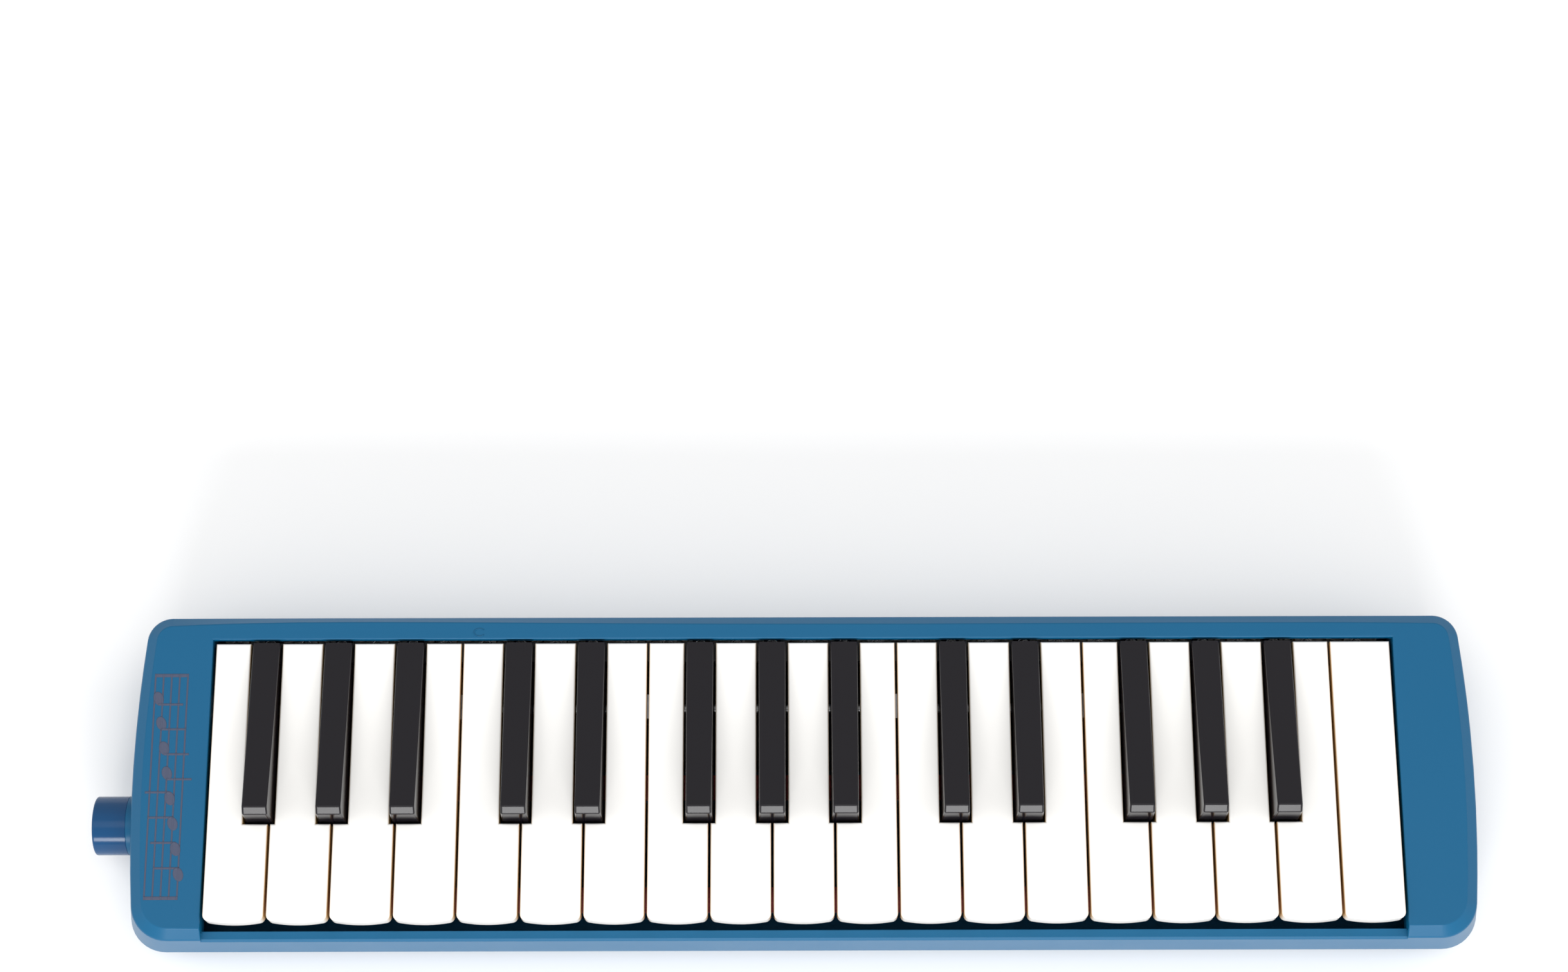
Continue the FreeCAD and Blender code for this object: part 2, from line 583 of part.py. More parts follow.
def upper_case():
    """The upper case: sloping top, key opening, low front rail, cheeks."""
    body = upper_block("upper_case", "0", "joint_height")
    top = max(body.Shape.Faces, key=lambda face: face.CenterOfMass.z)
    border = [edge.CenterOfMass for edge in top.Edges]
    dress(body, "Chamfer", lambda e: any(e.CenterOfMass.isEqual(p, NEAR) for p in border),
          Size="edge_slope")
    width = value("edge_slope")
    dress(body, "Fillet", lambda e: abs(drop_below_top(e) - width) < width / 4
          and not is_upright(e), Radius="wall_round")
    dress(body, "Fillet", lambda e: abs(drop_below_top(e)) < width / 10, Radius="edge_round")
    hollow(body, upper_block("upper_core", "wall", "joint_height - overcut"))

    # key opening and the low rail in front of it
    opening = rectangle(f"-({OPENING})", "-rail_inner", OPENING, "rim_inner")
    pocket(body, loops_sketch(body, "XY_Plane", "rim_height + overcut", [opening]),
           "rim_height + overcut - joint_height")
    lean = "face_lean * (rail_height - joint_height) / (blank_top - joint_height)"
    face = f"(-body_depth / 2 + {lean})"
    below = "rail_height - 2 * rail_slope"
    notch = [("-rail_inner + overcut", "rail_height"), ("-rail_inner + overcut", "blank_top"),
             ("-body_depth", "blank_top"), ("-body_depth", below),
             (f"{face} - rail_slope", below), (f"{face} + rail_slope", "rail_height")]
    pocket(body, loops_sketch(body, "YZ_Plane", "0", [notch]), f"2 * ({OPENING})",
           both_ways=True)
    rib = rectangle(f"-({OPENING}) - skirt_wall", "-rail_inner - rail_rib_wall",
                    f"{OPENING} + skirt_wall", "-rail_inner")
    pad(body, loops_sketch(body, "XY_Plane", "rail_height - rail_rib", [rib]), "rail_rib")

    # inner walls of the cheeks
    ends = ("-rail_inner - bite", "rim_inner + skirt_wall")
    skirt = [(ends[0], "skirt_bottom"), (ends[1], "skirt_bottom"),
             (ends[1], top_at(ends[1]) + " - wall / 2"), (ends[0], top_at(ends[0]) + " - wall / 2")]
    for offset in (OPENING, f"-({OPENING}) - skirt_wall"):
        pad(body, loops_sketch(body, "YZ_Plane", offset, [skirt]), "skirt_wall")

    # rounded edges of the opening
    half_opening, rear = value(OPENING), value("rim_inner")
    dress(body, "Fillet", lambda e: abs(drop_below_top(e)) < NEAR
          and abs(e.CenterOfMass.x) < half_opening + NEAR
          and -rear < e.CenterOfMass.y < rear + NEAR, Radius="lip_round")

    # screw bosses
    for x, y in SCREW_PLACES:
        pad(body, circle_sketch(body, "XY_Plane", "joint_height", [(x, y, "boss_radius")]),
            f"{top_at(y)} - wall / 2 - joint_height")
    holes = [(x, y, "case_screw + snug") for x, y in SCREW_PLACES]
    pocket(body, circle_sketch(body, "XY_Plane", "joint_height", holes),
           "case_screw_top + overcut - joint_height", reverse=True)
    socket_boss(body, above=True)
    return body


def stop_ledge(centre, felt_top):
    """A T-shaped ledge, seen from the end, with room for a felt on it."""
    ledge = f"({felt_top} - felt_thickness)"
    left, right = f"{centre} - stop_width / 2", f"{centre} + stop_width / 2"
    web_left, web_right = f"{centre} - stop_web / 2", f"{centre} + stop_web / 2"
    floor = "wall - bite"
    under = f"{ledge} - stop_plate"
    return [(web_left, floor), (web_right, floor), (web_right, under), (right, under),
            (right, ledge), (left, ledge), (left, under), (web_left, under)]


def lower_case():
    """The lower case: a tray with ledges for the stop felts and ribs under the chest."""
    halfway = "base_round * (1 - sqrt(0.5))"
    levels = [(height, f"(base_side_lean + {inset})", f"(base_face_lean + {inset})")
              for height, inset in (("0", "base_round"), (halfway, halfway), ("base_round", "0"))]
    levels.append(("joint_height", "0", "0"))
    body = case_block("lower_case", "0", levels)
    hollow(body, case_block("lower_core", "wall",
                            [("wall", "base_side_lean", "base_face_lean"),
                             ("joint_height + overcut", "0", "0")]))

    for centre, felt_top in (("-front_stop", "front_stop_top"),
                             ("-middle_stop", "middle_stop_top")):
        pad(body, loops_sketch(body, "YZ_Plane", "0", [stop_ledge(centre, felt_top)]),
            "stop_half_length * 2", both_ways=True)
    ribs = [rectangle(f"{place} * chest_screw_pitch - support_width / 2",
                      "chest_front + chest_wall",
                      f"{place} * chest_screw_pitch + support_width / 2",
                      "chest_rear - chest_wall")
            for place in SUPPORT_RIBS]
    inlet_middle = "(inlet_left + inlet_right) / 2"
    ribs.append(rectangle(f"-{inlet_middle} - support_width / 2", "-inlet_front + inlet_wall",
                          f"-{inlet_middle} + support_width / 2", "inlet_rear - inlet_wall"))
    pad(body, loops_sketch(body, "XY_Plane", "wall - bite", ribs), "chest_bottom - wall + bite")

    columns = [(x, y, "boss_column") for x, y in SCREW_PLACES]
    pad(body, circle_sketch(body, "XY_Plane", "0", columns), "joint_height")
    holes = [(x, y, "case_screw + snug") for x, y in SCREW_PLACES]
    pocket(body, circle_sketch(body, "XY_Plane", "joint_height + overcut", holes),
           "joint_height + 2 * overcut")
    seats = [(x, y, "case_screw_head + head_play") for x, y in SCREW_PLACES]
    pocket(body, circle_sketch(body, "XY_Plane", "0", seats), "case_screw_seat", reverse=True)
    socket_boss(body, above=False)
    drain = [("drain_x", "drain_height", "drain_radius + drain_play")]
    pocket(body, circle_sketch(body, "XZ_Plane", "-body_depth / 2 - overcut", drain),
           "base_face_lean + wall + 2 * overcut", reverse=True)
    return body


def case_screws():
    screws = []
    for number, (x, y) in enumerate(SCREW_PLACES, 1):
        seat = "case_screw_seat"
        head = cylinder(f"case_screw_head_{number}", (x, y, f"{seat} - head_height"),
                        "case_screw_head", "head_height")
        shank = cylinder(f"case_screw_shank_{number}", (x, y, seat), "case_screw",
                         f"case_screw_top - {seat}")
        screws.append(fuse(f"case_screw_{number}", [head, shank]))
    return group("case_screws", screws)


# ---------------------------------------------------------------- the keyboard layout


def white_left(index):
    return f"-keyboard_half + {index} * white_pitch"


def sharp_after(index):
    """The centre of the black key after a white key, or None."""
    offset = SHARP_OFFSETS.get(WHITE_LETTERS[index % NOTES])
    if offset is None or not 0 <= index < WHITE_KEYS - 1:
        return None
    return f"{white_left(index + 1)} + ({offset})"


def key_list():
    """Every key from the lowest up: its name, its white index, its centre at the rear."""
    keys = []
    for index in range(WHITE_KEYS):
        letter = WHITE_LETTERS[index % NOTES]
        octave = FIRST_OCTAVE + (index + NOTES_BELOW_C) // NOTES
        before, after = sharp_after(index - 1), sharp_after(index)
        left = f"{before} + slot_width / 2" if before else f"{white_left(index)} + key_gap / 2"
        right = (f"{after} - slot_width / 2" if after
                 else f"{white_left(index + 1)} - key_gap / 2")
        keys.append({"name": f"key_{letter}{octave}", "white": index, "left": left,
                     "right": right, "slots": (bool(before), bool(after)),
                     "centre": f"(({left}) + ({right})) / 2"})
        if after:
            keys.append({"name": f"key_{letter}_sharp_{octave}", "white": None,
                         "centre": f"({after})"})
    return keys


KEYS = key_list()


def between(first, second):
    """Half way between two keys' levers."""
    return f"({KEYS[first]['centre']} + {KEYS[second]['centre']}) / 2"


# where two white levers stand side by side there is room for a bracket
BRACKET_PLACES = ["-chest_left + bracket_width / 2"]
BRACKET_PLACES += [between(number, number + 1) for number in range(len(KEYS) - 1)
                   if KEYS[number]["white"] is not None and KEYS[number + 1]["white"] is not None]
BRACKET_PLACES.append("chest_right - bracket_width / 2")


# ---------------------------------------------------------------- keys


def white_outline(key, inset, rear):
    """A white key in plan, or the hollow inside it, with its cut-outs."""
    left = f"{white_left(key['white'])} + key_gap / 2 + {inset}"
    right = f"{white_left(key['white'] + 1)} - key_gap / 2 - {inset}"
    front = f"-key_front + {inset}"
    shoulder = f"-slot_front - {inset}"
    width = "(white_pitch - key_gap)"
    bow = f"{width} ^ 2 / (8 * key_bow) + key_bow / 2"
    outline = [(left, front, bow), (right, front)]
    tail_right = f"{key['right']} - {inset}"
    tail_left = f"{key['left']} + {inset}"
    if key["slots"][1]:
        outline += [(right, shoulder), (tail_right, shoulder)]
    outline += [(tail_right, rear), (tail_left, rear)]
    if key["slots"][0]:
        outline += [(tail_left, shoulder), (left, shoulder)]
    return outline


def add_lever(body, centre, bottom):
    """The lever under a key: web, hub on the shaft, tail and spring peg."""
    start = f"{centre} - lever_width / 2"
    top = f"{bottom} + lever_bite"
    web = [("web_front", top), ("shaft_rear - hub_radius + lever_bite", "shaft_height - lever_bite"),
           ("shaft_rear", "tail_bottom"), ("tail_end", "tail_bottom"), ("tail_end", "tail_top"),
           ("web_rear", "tail_top"), ("web_rear", top)]
    hub = [("shaft_rear", "shaft_height", "hub_radius")]
    bore = [("shaft_rear", "shaft_height", "shaft_radius + shaft_play")]
    peg = [(centre, "spring_line", "peg_radius")]
    pad(body, loops_sketch(body, "YZ_Plane", start, [web]), "lever_width")
    pad(body, circle_sketch(body, "YZ_Plane", start, hub), "lever_width")
    pocket(body, circle_sketch(body, "YZ_Plane", f"{start} - overcut", bore),
           "lever_width + 2 * overcut", reverse=True)
    pad(body, circle_sketch(body, "XY_Plane", "tail_top", peg), "tail_peg")


def overhang_step(body, bottom):
    """Thin the key's rear end, so that it swings clear of the spring bar."""
    step = rectangle("web_rear", f"{bottom} - overcut", "key_rear + overcut",
                     "key_top - tail_plate")
    pocket(body, loops_sketch(body, "YZ_Plane", "0", [step]), "body_length * 2", both_ways=True)


def white_key(key):
    body = doc.addObject("PartDesign::Body", key["name"] + "_lever")
    bottom = "(key_top - key_depth)"
    pad(body, loops_sketch(body, "XY_Plane", bottom, [white_outline(key, "0", "key_rear")]),
        "key_depth")
    front = value("-key_front")
    dress(body, "Fillet", lambda e: is_upright(e) and abs(e.CenterOfMass.y - front) < NEAR,
          Radius="key_corner")
    top = value("key_top")
    dress(body, "Fillet", lambda e: e.BoundBox.ZMin > top - NEAR, Radius="key_edge")
    pocket(body, loops_sketch(body, "XY_Plane", bottom,
                              [white_outline(key, "key_wall", "hollow_end")]),
           "key_depth - key_plate", reverse=True)
    overhang_step(body, bottom)
    add_lever(body, key["centre"], bottom)
    return body


def black_key(key):
    body = doc.addObject("PartDesign::Body", key["name"] + "_lever")
    side = [("-black_front", "black_bottom"), ("key_rear", "black_bottom"),
            ("key_rear", "black_rear_height"), ("-black_peak", "black_peak_height"),
            ("-black_brow", "black_brow_height")]
    pad(body, loops_sketch(body, "YZ_Plane", f"{key['centre']} - black_base / 2", [side]),
        "black_base")
    flanks = []
    rise = "(black_peak_height - black_bottom)"
    for sign in ("-1", "1"):
        foot = f"{key['centre']} + {sign} * black_base / 2"
        crown = f"{key['centre']} + {sign} * black_crown / 2"
        outside = f"{foot} + {sign} * overcut"
        corners = [(foot, "black_bottom"), (outside, "black_bottom"),
                   (outside, f"black_bottom + {rise}"), (crown, f"black_bottom + {rise}")]
        flanks.append(corners if sign == "1" else corners[::-1])
    pocket(body, loops_sketch(body, "XZ_Plane", "0", flanks), "body_depth * 2", both_ways=True)
    foot, rear = value("black_bottom"), value("key_rear")
    dress(body, "Fillet", lambda e: e.BoundBox.ZMax > foot + NEAR and e.CenterOfMass.y < rear - NEAR,
          Radius="black_edge")
    inner = "black_base / 2 - key_wall"
    hollow = rectangle(f"{key['centre']} - ({inner})", "-black_front + black_front_wall",
                       f"{key['centre']} + {inner}", "hollow_end")
    pocket(body, loops_sketch(body, "XY_Plane", "black_bottom", [hollow]), "black_hollow",
           reverse=True)
    overhang_step(body, "black_bottom")
    add_lever(body, key["centre"], "black_bottom")
    return body


def key_with_pad(key):
    """A key's lever and its pallet pad, as two solids of one sub-part."""
    lever = black_key(key) if key["white"] is None else white_key(key)
    pallet = box(key["name"] + "_pad",
                 (f"{key['centre']} - pad_width / 2", "pad_front", "block_top + pad_gap"),
                 (f"{key['centre']} + pad_width / 2", "pad_rear", "tail_bottom"))
    return group(key["name"], [lever, pallet])


# ---------------------------------------------------------------- what carries the keys

ALONG_X = (1, 0, 0)
ALONG_Y = (0, 1, 0)


def key_shaft():
    return cylinder("key_shaft", ("-chest_left", "shaft_rear", "shaft_height"), "shaft_radius",
                    "chest_left + chest_right", ALONG_X)


def shaft_brackets():
    brackets = []
    for number, x in enumerate(BRACKET_PLACES, 1):
        name = f"shaft_bracket_{number}"
        plate = box(name + "_plate",
                    (f"{x} - bracket_width / 2", "shaft_rear - bracket_depth / 2", "block_top"),
                    (f"{x} + bracket_width / 2", "shaft_rear + bracket_depth / 2", "bracket_top"))
        hole = cylinder(name + "_hole", (f"{x} - bracket_width", "shaft_rear", "shaft_height"),
                        "shaft_radius + snug", "bracket_width * 2", ALONG_X)
        brackets.append(cut(name, plate, [hole]))
    return group("shaft_brackets", brackets)


def spring_bar():
    """The bar that the key springs push against, on posts that stand on the cell block."""
    pieces = [box("spring_bar_strip", ("-chest_left + strip_play", "bar_front", "bar_bottom"),
                  ("chest_right - strip_play", "bar_rear", "bar_bottom + bar_thickness"))]
    for number, x in enumerate(BRACKET_PLACES, 1):
        pieces.append(box(f"spring_bar_post_{number}",
                          (f"{x} - post_width / 2", "bar_front", "block_top"),
                          (f"{x} + post_width / 2", "bar_rear", "bar_bottom + bite")))
    for key in KEYS:
        pieces.append(cylinder(f"spring_bar_peg_{key['name']}",
                               (key["centre"], "spring_line - bar_peg_shift",
                                "bar_bottom - bar_peg"),
                               "peg_radius - bar_peg_play", "bar_peg + bite"))
    return fuse("spring_bar", pieces)


def key_springs():
    """The room each coil spring takes, between a lever's tail and the spring bar."""
    springs = []
    length = "bar_bottom - tail_top"
    for key in KEYS:
        place = (key["centre"], "spring_line", "tail_top")
        outside = cylinder(f"spring_outside_{key['name']}", place, "spring_radius", length)
        inside = cylinder(f"spring_inside_{key['name']}", place, "spring_bore", length)
        springs.append(cut(f"spring_{key['name']}", outside, [inside]))
    return group("key_springs", springs)


def guide_comb():
    """The comb that keeps the levers' tails apart."""
    places = [between(number, number + 1) for number in range(len(KEYS) - 1)]
    pieces = [box("guide_comb_strip", ("-chest_left + strip_play", "comb_front", "block_top"),
                  ("chest_right - strip_play", "comb_rear", "block_top + comb_base"))]
    for number, x in enumerate(places, 1):
        pieces.append(box(f"guide_comb_tooth_{number}",
                          (f"{x} - tooth_width / 2", "comb_front", "block_top"),
                          (f"{x} + tooth_width / 2", "comb_rear - tooth_step", "comb_top")))
    return fuse("guide_comb", pieces)


def stop_felt(name, centre, felt_top):
    return box(name, ("-stop_half_length", f"{centre} - stop_width / 2",
                      f"{felt_top} - felt_thickness"),
               ("stop_half_length", f"{centre} + stop_width / 2", felt_top))


# ---------------------------------------------------------------- the wind chest

BLOCK_BOTTOM = "(tray_top + gasket_thickness)"
PLATE_BOTTOM = f"({BLOCK_BOTTOM} - plate_thickness)"
REED_BOTTOM = f"({PLATE_BOTTOM} - reed_thickness)"
INNER_FRONT = "(chest_front + chest_wall)"
INNER_REAR = "(chest_rear - chest_wall)"
REED_AXIS = "(reed_root + reed_foot / 2)"


def chest_screw_places():
    half = (CHEST_SCREWS_PER_SIDE - 1) / 2
    rows = ("chest_front + chest_wall / 2", "chest_rear - chest_wall / 2")
    return [(f"{number - half} * chest_screw_pitch", y)
            for y in rows for number in range(CHEST_SCREWS_PER_SIDE)]


def chest_screw_holes(name, bottom, top, radius):
    return [cylinder(f"{name}_hole_{number}", (x, y, bottom), radius, f"({top}) - ({bottom})")
            for number, (x, y) in enumerate(chest_screw_places(), 1)]


def passage(name, left, right):
    """The air passage between the inlet box and the chest."""
    return box(name, (left, "passage_front", "passage_bottom"),
               (right, "passage_rear", "passage_top"))


def chest_tray():
    outside = box("tray_outside", ("-chest_left", "chest_front", "chest_bottom"),
                  ("chest_right", "chest_rear", "tray_top"))
    inside = box("tray_inside", ("-chest_left + chest_wall", INNER_FRONT,
                                 "chest_bottom + tray_floor"),
                 ("chest_right - chest_wall", INNER_REAR, "tray_top + overcut"))
    holes = chest_screw_holes("tray", "chest_bottom", "tray_top + overcut",
                              "chest_screw + snug")
    seats = chest_screw_holes("tray_seat", "chest_bottom - overcut",
                              "chest_bottom + chest_head_height",
                              "chest_screw_head + head_play")
    way_in = passage("tray_passage", "-chest_left - overcut", "-chest_left + chest_wall + overcut")
    drain = cylinder("tray_drain", ("drain_x", f"{INNER_REAR} - overcut", "drain_height"),
                     "drain_port", "chest_wall + 2 * overcut", ALONG_Y)
    hollow = cut("tray_hollow", outside, [inside, way_in, drain])
    seated = cut("tray_seated", hollow, seats)
    return cut("chest_tray", seated, holes)


def chest_gasket():
    outside = box("gasket_outside", ("-chest_left", "chest_front", "tray_top"),
                  ("chest_right", "chest_rear", BLOCK_BOTTOM))
    low, high = "tray_top - overcut", f"{BLOCK_BOTTOM} + overcut"
    inside = box("gasket_inside", ("-chest_left + chest_wall", INNER_FRONT, low),
                 ("chest_right - chest_wall", INNER_REAR, high))
    holes = chest_screw_holes("gasket", low, high, "chest_screw + snug")
    return cut("chest_gasket", outside, [inside] + holes)


def plate_screw_places():
    return [(between(cell, cell + 1), y) for cells in PLATE_SCREW_CELLS for cell in cells
            for y in (f"{INNER_FRONT} + plate_inset + plate_screw_inset",
                      f"{INNER_REAR} - plate_inset - plate_screw_inset")]


def plate_screw_holes(name, bottom, top):
    return [cylinder(f"{name}_screw_hole_{number}", (x, y, bottom), "small_screw + snug",
                     f"({top}) - ({bottom})")
            for number, (x, y) in enumerate(plate_screw_places(), 1)]


def cell_block():
    """The block with one cell and one pallet hole for each reed."""
    outside = box("block_outside", ("-chest_left", "chest_front", BLOCK_BOTTOM),
                  ("chest_right", "chest_rear", "block_top"))
    cells, ports = [], []
    for key in KEYS:
        x = key["centre"]
        cells.append(box(f"cell_{key['name']}",
                         (f"{x} - cell_width / 2", "cell_front", f"{BLOCK_BOTTOM} - overcut"),
                         (f"{x} + cell_width / 2", "cell_rear", "block_top - cell_roof")))
        ports.append(box(f"port_{key['name']}",
                         (f"{x} - port_width / 2", "port_front",
                          "block_top - cell_roof - overcut"),
                         (f"{x} + port_width / 2", "port_rear", "block_top + overcut")))
    tip = "chest_bottom + chest_head_height + chest_screw_length + hole_spare"
    holes = chest_screw_holes("block", f"{BLOCK_BOTTOM} - overcut", tip, "chest_screw + snug")
    holes += plate_screw_holes("block", f"{BLOCK_BOTTOM} - overcut",
                               f"{BLOCK_BOTTOM} + small_screw_length")
    hollow = cut("block_hollow", outside, cells)
    open_top = cut("block_open_top", hollow, ports)
    return cut("cell_block", open_top, holes)


def reed_length(number):
    return f"(reed_longest - {number} * reed_step)"


def reed_plate(name, numbers, left, right):
    """A brass plate with a slot and a rivet hole for each of its reeds."""
    blank = box(name + "_blank", (left, f"{INNER_FRONT} + plate_inset", PLATE_BOTTOM),
                (right, f"{INNER_REAR} - plate_inset", BLOCK_BOTTOM))
    low, high = f"{PLATE_BOTTOM} - overcut", f"{BLOCK_BOTTOM} + overcut"
    slots, holes = [], []
    for number in numbers:
        x = KEYS[number]["centre"]
        slots.append(box(f"{name}_slot_{number}",
                         (f"{x} - reed_width / 2 - reed_play", "reed_root + reed_foot", low),
                         (f"{x} + reed_width / 2 + reed_play",
                          f"reed_root + reed_foot + {reed_length(number)} + reed_play", high)))
        holes.append(cylinder(f"{name}_rivet_hole_{number}", (x, REED_AXIS, low),
                              "rivet_radius + snug", f"{high} - ({low})"))
    first, last = value(left), value(right)
    screws = [hole for hole, (x, _) in zip(plate_screw_holes(name, low, high),
                                           plate_screw_places()) if first < value(x) < last]
    slotted = cut(name + "_slotted", blank, slots)
    return cut(name, slotted, holes + screws)


def reeds():
    strips = []
    for number, key in enumerate(KEYS):
        x = key["centre"]
        strip = box(f"reed_{number}_strip", (f"{x} - reed_width / 2", "reed_root", REED_BOTTOM),
                    (f"{x} + reed_width / 2",
                     f"reed_root + reed_foot + {reed_length(number)}", PLATE_BOTTOM))
        hole = cylinder(f"reed_{number}_hole", (x, REED_AXIS, f"{REED_BOTTOM} - overcut"),
                        "rivet_radius + snug", "reed_thickness + 2 * overcut")
        strips.append(cut(f"reed_{number}", strip, [hole]))
    return group("reeds", strips)


def reed_rivets():
    rivets = []
    for number, key in enumerate(KEYS):
        place = (key["centre"], REED_AXIS)
        head = cylinder(f"rivet_{number}_head", (*place, f"{REED_BOTTOM} - rivet_head_height"),
                        "rivet_head", "rivet_head_height")
        shank = cylinder(f"rivet_{number}_shank", (*place, f"{REED_BOTTOM} - bite"),
                         "rivet_radius", f"{BLOCK_BOTTOM} - {REED_BOTTOM} + bite")
        rivets.append(fuse(f"rivet_{number}", [head, shank]))
    return group("reed_rivets", rivets)


def screw_set(name, places, seat, head, head_height, radius, length):
    """Upright screws whose heads are under their seats."""
    screws = []
    for number, (x, y) in enumerate(places, 1):
        top = cylinder(f"{name}_head_{number}", (x, y, f"{seat} - {head_height}"), head,
                       head_height)
        shank = cylinder(f"{name}_shank_{number}", (x, y, f"{seat} - bite"), radius,
                         f"{length} + bite")
        screws.append(fuse(f"{name}_{number}", [top, shank]))
    return group(name, screws)


# ---------------------------------------------------------------- inlet, socket and drain


def inlet_box():
    outside = box("inlet_outside", ("-inlet_left", "-inlet_front", "chest_bottom"),
                  ("-inlet_right", "inlet_rear", "inlet_top"))
    inside = box("inlet_inside",
                 ("-inlet_left + inlet_wall", "-inlet_front + inlet_wall",
                  "chest_bottom + inlet_wall"),
                 ("-inlet_right - inlet_wall", "inlet_rear - inlet_wall", "inlet_top + overcut"))
    way_out = passage("inlet_passage", "-inlet_right - inlet_wall - overcut", "-inlet_right + overcut")
    bore = cylinder("inlet_bore", ("-inlet_left - overcut", *SOCKET),
                    "spigot_radius + socket_play", "inlet_wall + 2 * overcut", ALONG_X)
    return cut("inlet_box", outside, [inside, way_out, bore])


def inlet_lid():
    return box("inlet_lid", ("-inlet_left", "-inlet_front", "inlet_top"),
               ("-inlet_right", "inlet_rear", "inlet_top + inlet_lid"))


def inlet_gasket():
    outside = box("inlet_gasket_outside",
                  ("-inlet_right", "passage_front - inlet_seal_width",
                   "passage_bottom - inlet_seal_width"),
                  ("-chest_left", "passage_rear + inlet_seal_width", "tray_top"))
    return cut("inlet_gasket", outside,
               [passage("inlet_gasket_hole", "-inlet_right - overcut", "-chest_left + overcut")])


def mouthpiece_socket():
    """The socket: a short tube with a spigot, turned about its own axis."""
    body = doc.addObject("PartDesign::Body", "mouthpiece_socket")
    mouth = f"{LEFT} - socket_length"
    profile = [(mouth, "socket_bore"), ("-spigot_end", "socket_bore"),
               ("-spigot_end", "spigot_radius"), (LEFT, "spigot_radius"),
               (LEFT, "socket_radius"), (mouth, "socket_radius")]
    sketch = loops_sketch(body, "XZ_Plane", "0", [profile])
    turned = body.newObject("PartDesign::Revolution", "mouthpiece_socket_revolution")
    turned.Profile = sketch
    turned.ReferenceAxis = (sketch, ["H_Axis"])
    turned.Angle = 360
    doc.recompute()
    mouth_x, bore = value(mouth), value("socket_bore")
    dress(body, "Fillet", lambda e: abs(e.CenterOfMass.x - mouth_x) < NEAR
          and e.BoundBox.ZMax > bore + NEAR, Radius="socket_round")
    bind(body, placement_y=SOCKET[0], placement_z=SOCKET[1])
    return body


def socket_seal():
    start = ("-inlet_left - seal_width", *SOCKET)
    ring = cylinder("socket_seal_ring", start, "seal_radius", "seal_width", ALONG_X)
    hole = cylinder("socket_seal_hole", start, "spigot_radius", "seal_width", ALONG_X)
    return cut("socket_seal", ring, [hole])


def drain_button():
    """The drain button: a hollow cap on a stem that reaches into the chest."""
    axis = ("drain_x", "drain_height")

    def rod(name, start, end, radius):
        return cylinder(name, (axis[0], start, axis[1]), radius, f"({end}) - ({start})", ALONG_Y)

    cap_start = "drain_tip - drain_cap"
    cap = rod("drain_cap", cap_start, "drain_tip", "drain_radius")
    hollow = rod("drain_hollow", f"{cap_start} - overcut", "drain_tip - drain_floor",
                 "drain_spring + drain_play")
    stem = rod("drain_stem", "drain_stem_end", "drain_tip - drain_floor + bite", "drain_stem")
    return fuse("drain_button", [cut("drain_cap_hollow", cap, [hollow]), stem])


def drain_ring(name, start, end, outer, inner):
    place = ("drain_x", start, "drain_height")
    length = f"({end}) - ({start})"
    ring = cylinder(name + "_ring", place, outer, length, ALONG_Y)
    hole = cylinder(name + "_hole", place, inner, length, ALONG_Y)
    return cut(name, ring, [hole])


# ---------------------------------------------------------------- build and write


def build_all():
    parts = [upper_case(), lower_case(), case_screws()]
    parts += [key_with_pad(key) for key in KEYS]
    parts += [key_shaft(), shaft_brackets(), spring_bar(), key_springs(), guide_comb(),
              stop_felt("front_felt", "-front_stop", "front_stop_top"),
              stop_felt("middle_felt", "-middle_stop", "middle_stop_top")]
    half = len(KEYS) // 2
    split = between(half - 1, half)
    parts += [chest_tray(), chest_gasket(), cell_block(),
              reed_plate("reed_plate_low", range(half),
                         "-chest_left + chest_wall + plate_inset", f"{split} - plate_gap / 2"),
              reed_plate("reed_plate_high", range(half, len(KEYS)),
                         f"{split} + plate_gap / 2", "chest_right - chest_wall - plate_inset"),
              reeds(), reed_rivets(),
              screw_set("reed_plate_screws", plate_screw_places(), PLATE_BOTTOM, "small_head",
                        "small_head_height", "small_screw", "small_screw_length"),
              screw_set("chest_screws", chest_screw_places(),
                        "chest_bottom + chest_head_height", "chest_screw_head",
                        "chest_head_height", "chest_screw", "chest_screw_length")]
    parts += [inlet_box(), inlet_lid(), inlet_gasket(), mouthpiece_socket(), socket_seal(),
              drain_button(),
              drain_ring("drain_seal", f"{INNER_REAR} - drain_seal_width", INNER_REAR,
                         "drain_seal_radius", "drain_stem + snug"),
              drain_ring("drain_spring", "chest_rear", "drain_tip - drain_floor",
                         "drain_spring", "drain_spring_bore")]
    return parts


def check(parts):
    """Stop if a feature failed or a sub-part is not made of good solids."""
    for item in doc.Objects:
        if {"Invalid", "Error"} & set(item.State):
            raise RuntimeError(f"{item.Label} failed: {item.State}")
    for item in parts:
        if item.Shape.isNull() or not item.Shape.isValid() or not item.Shape.Solids:
            raise RuntimeError(f"{item.Label} is not a valid solid")


def write(parts):
    os.makedirs("parts", exist_ok=True)
    for item in parts:
        item.Shape.exportStep(os.path.join("parts", item.Label + ".step"))


PARTS = build_all()
doc.recompute()
check(PARTS)
write(PARTS)
print(len(PARTS), "sub-parts written")
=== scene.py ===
import json
import math

import bmesh
import bpy
from mathutils import Matrix, Vector


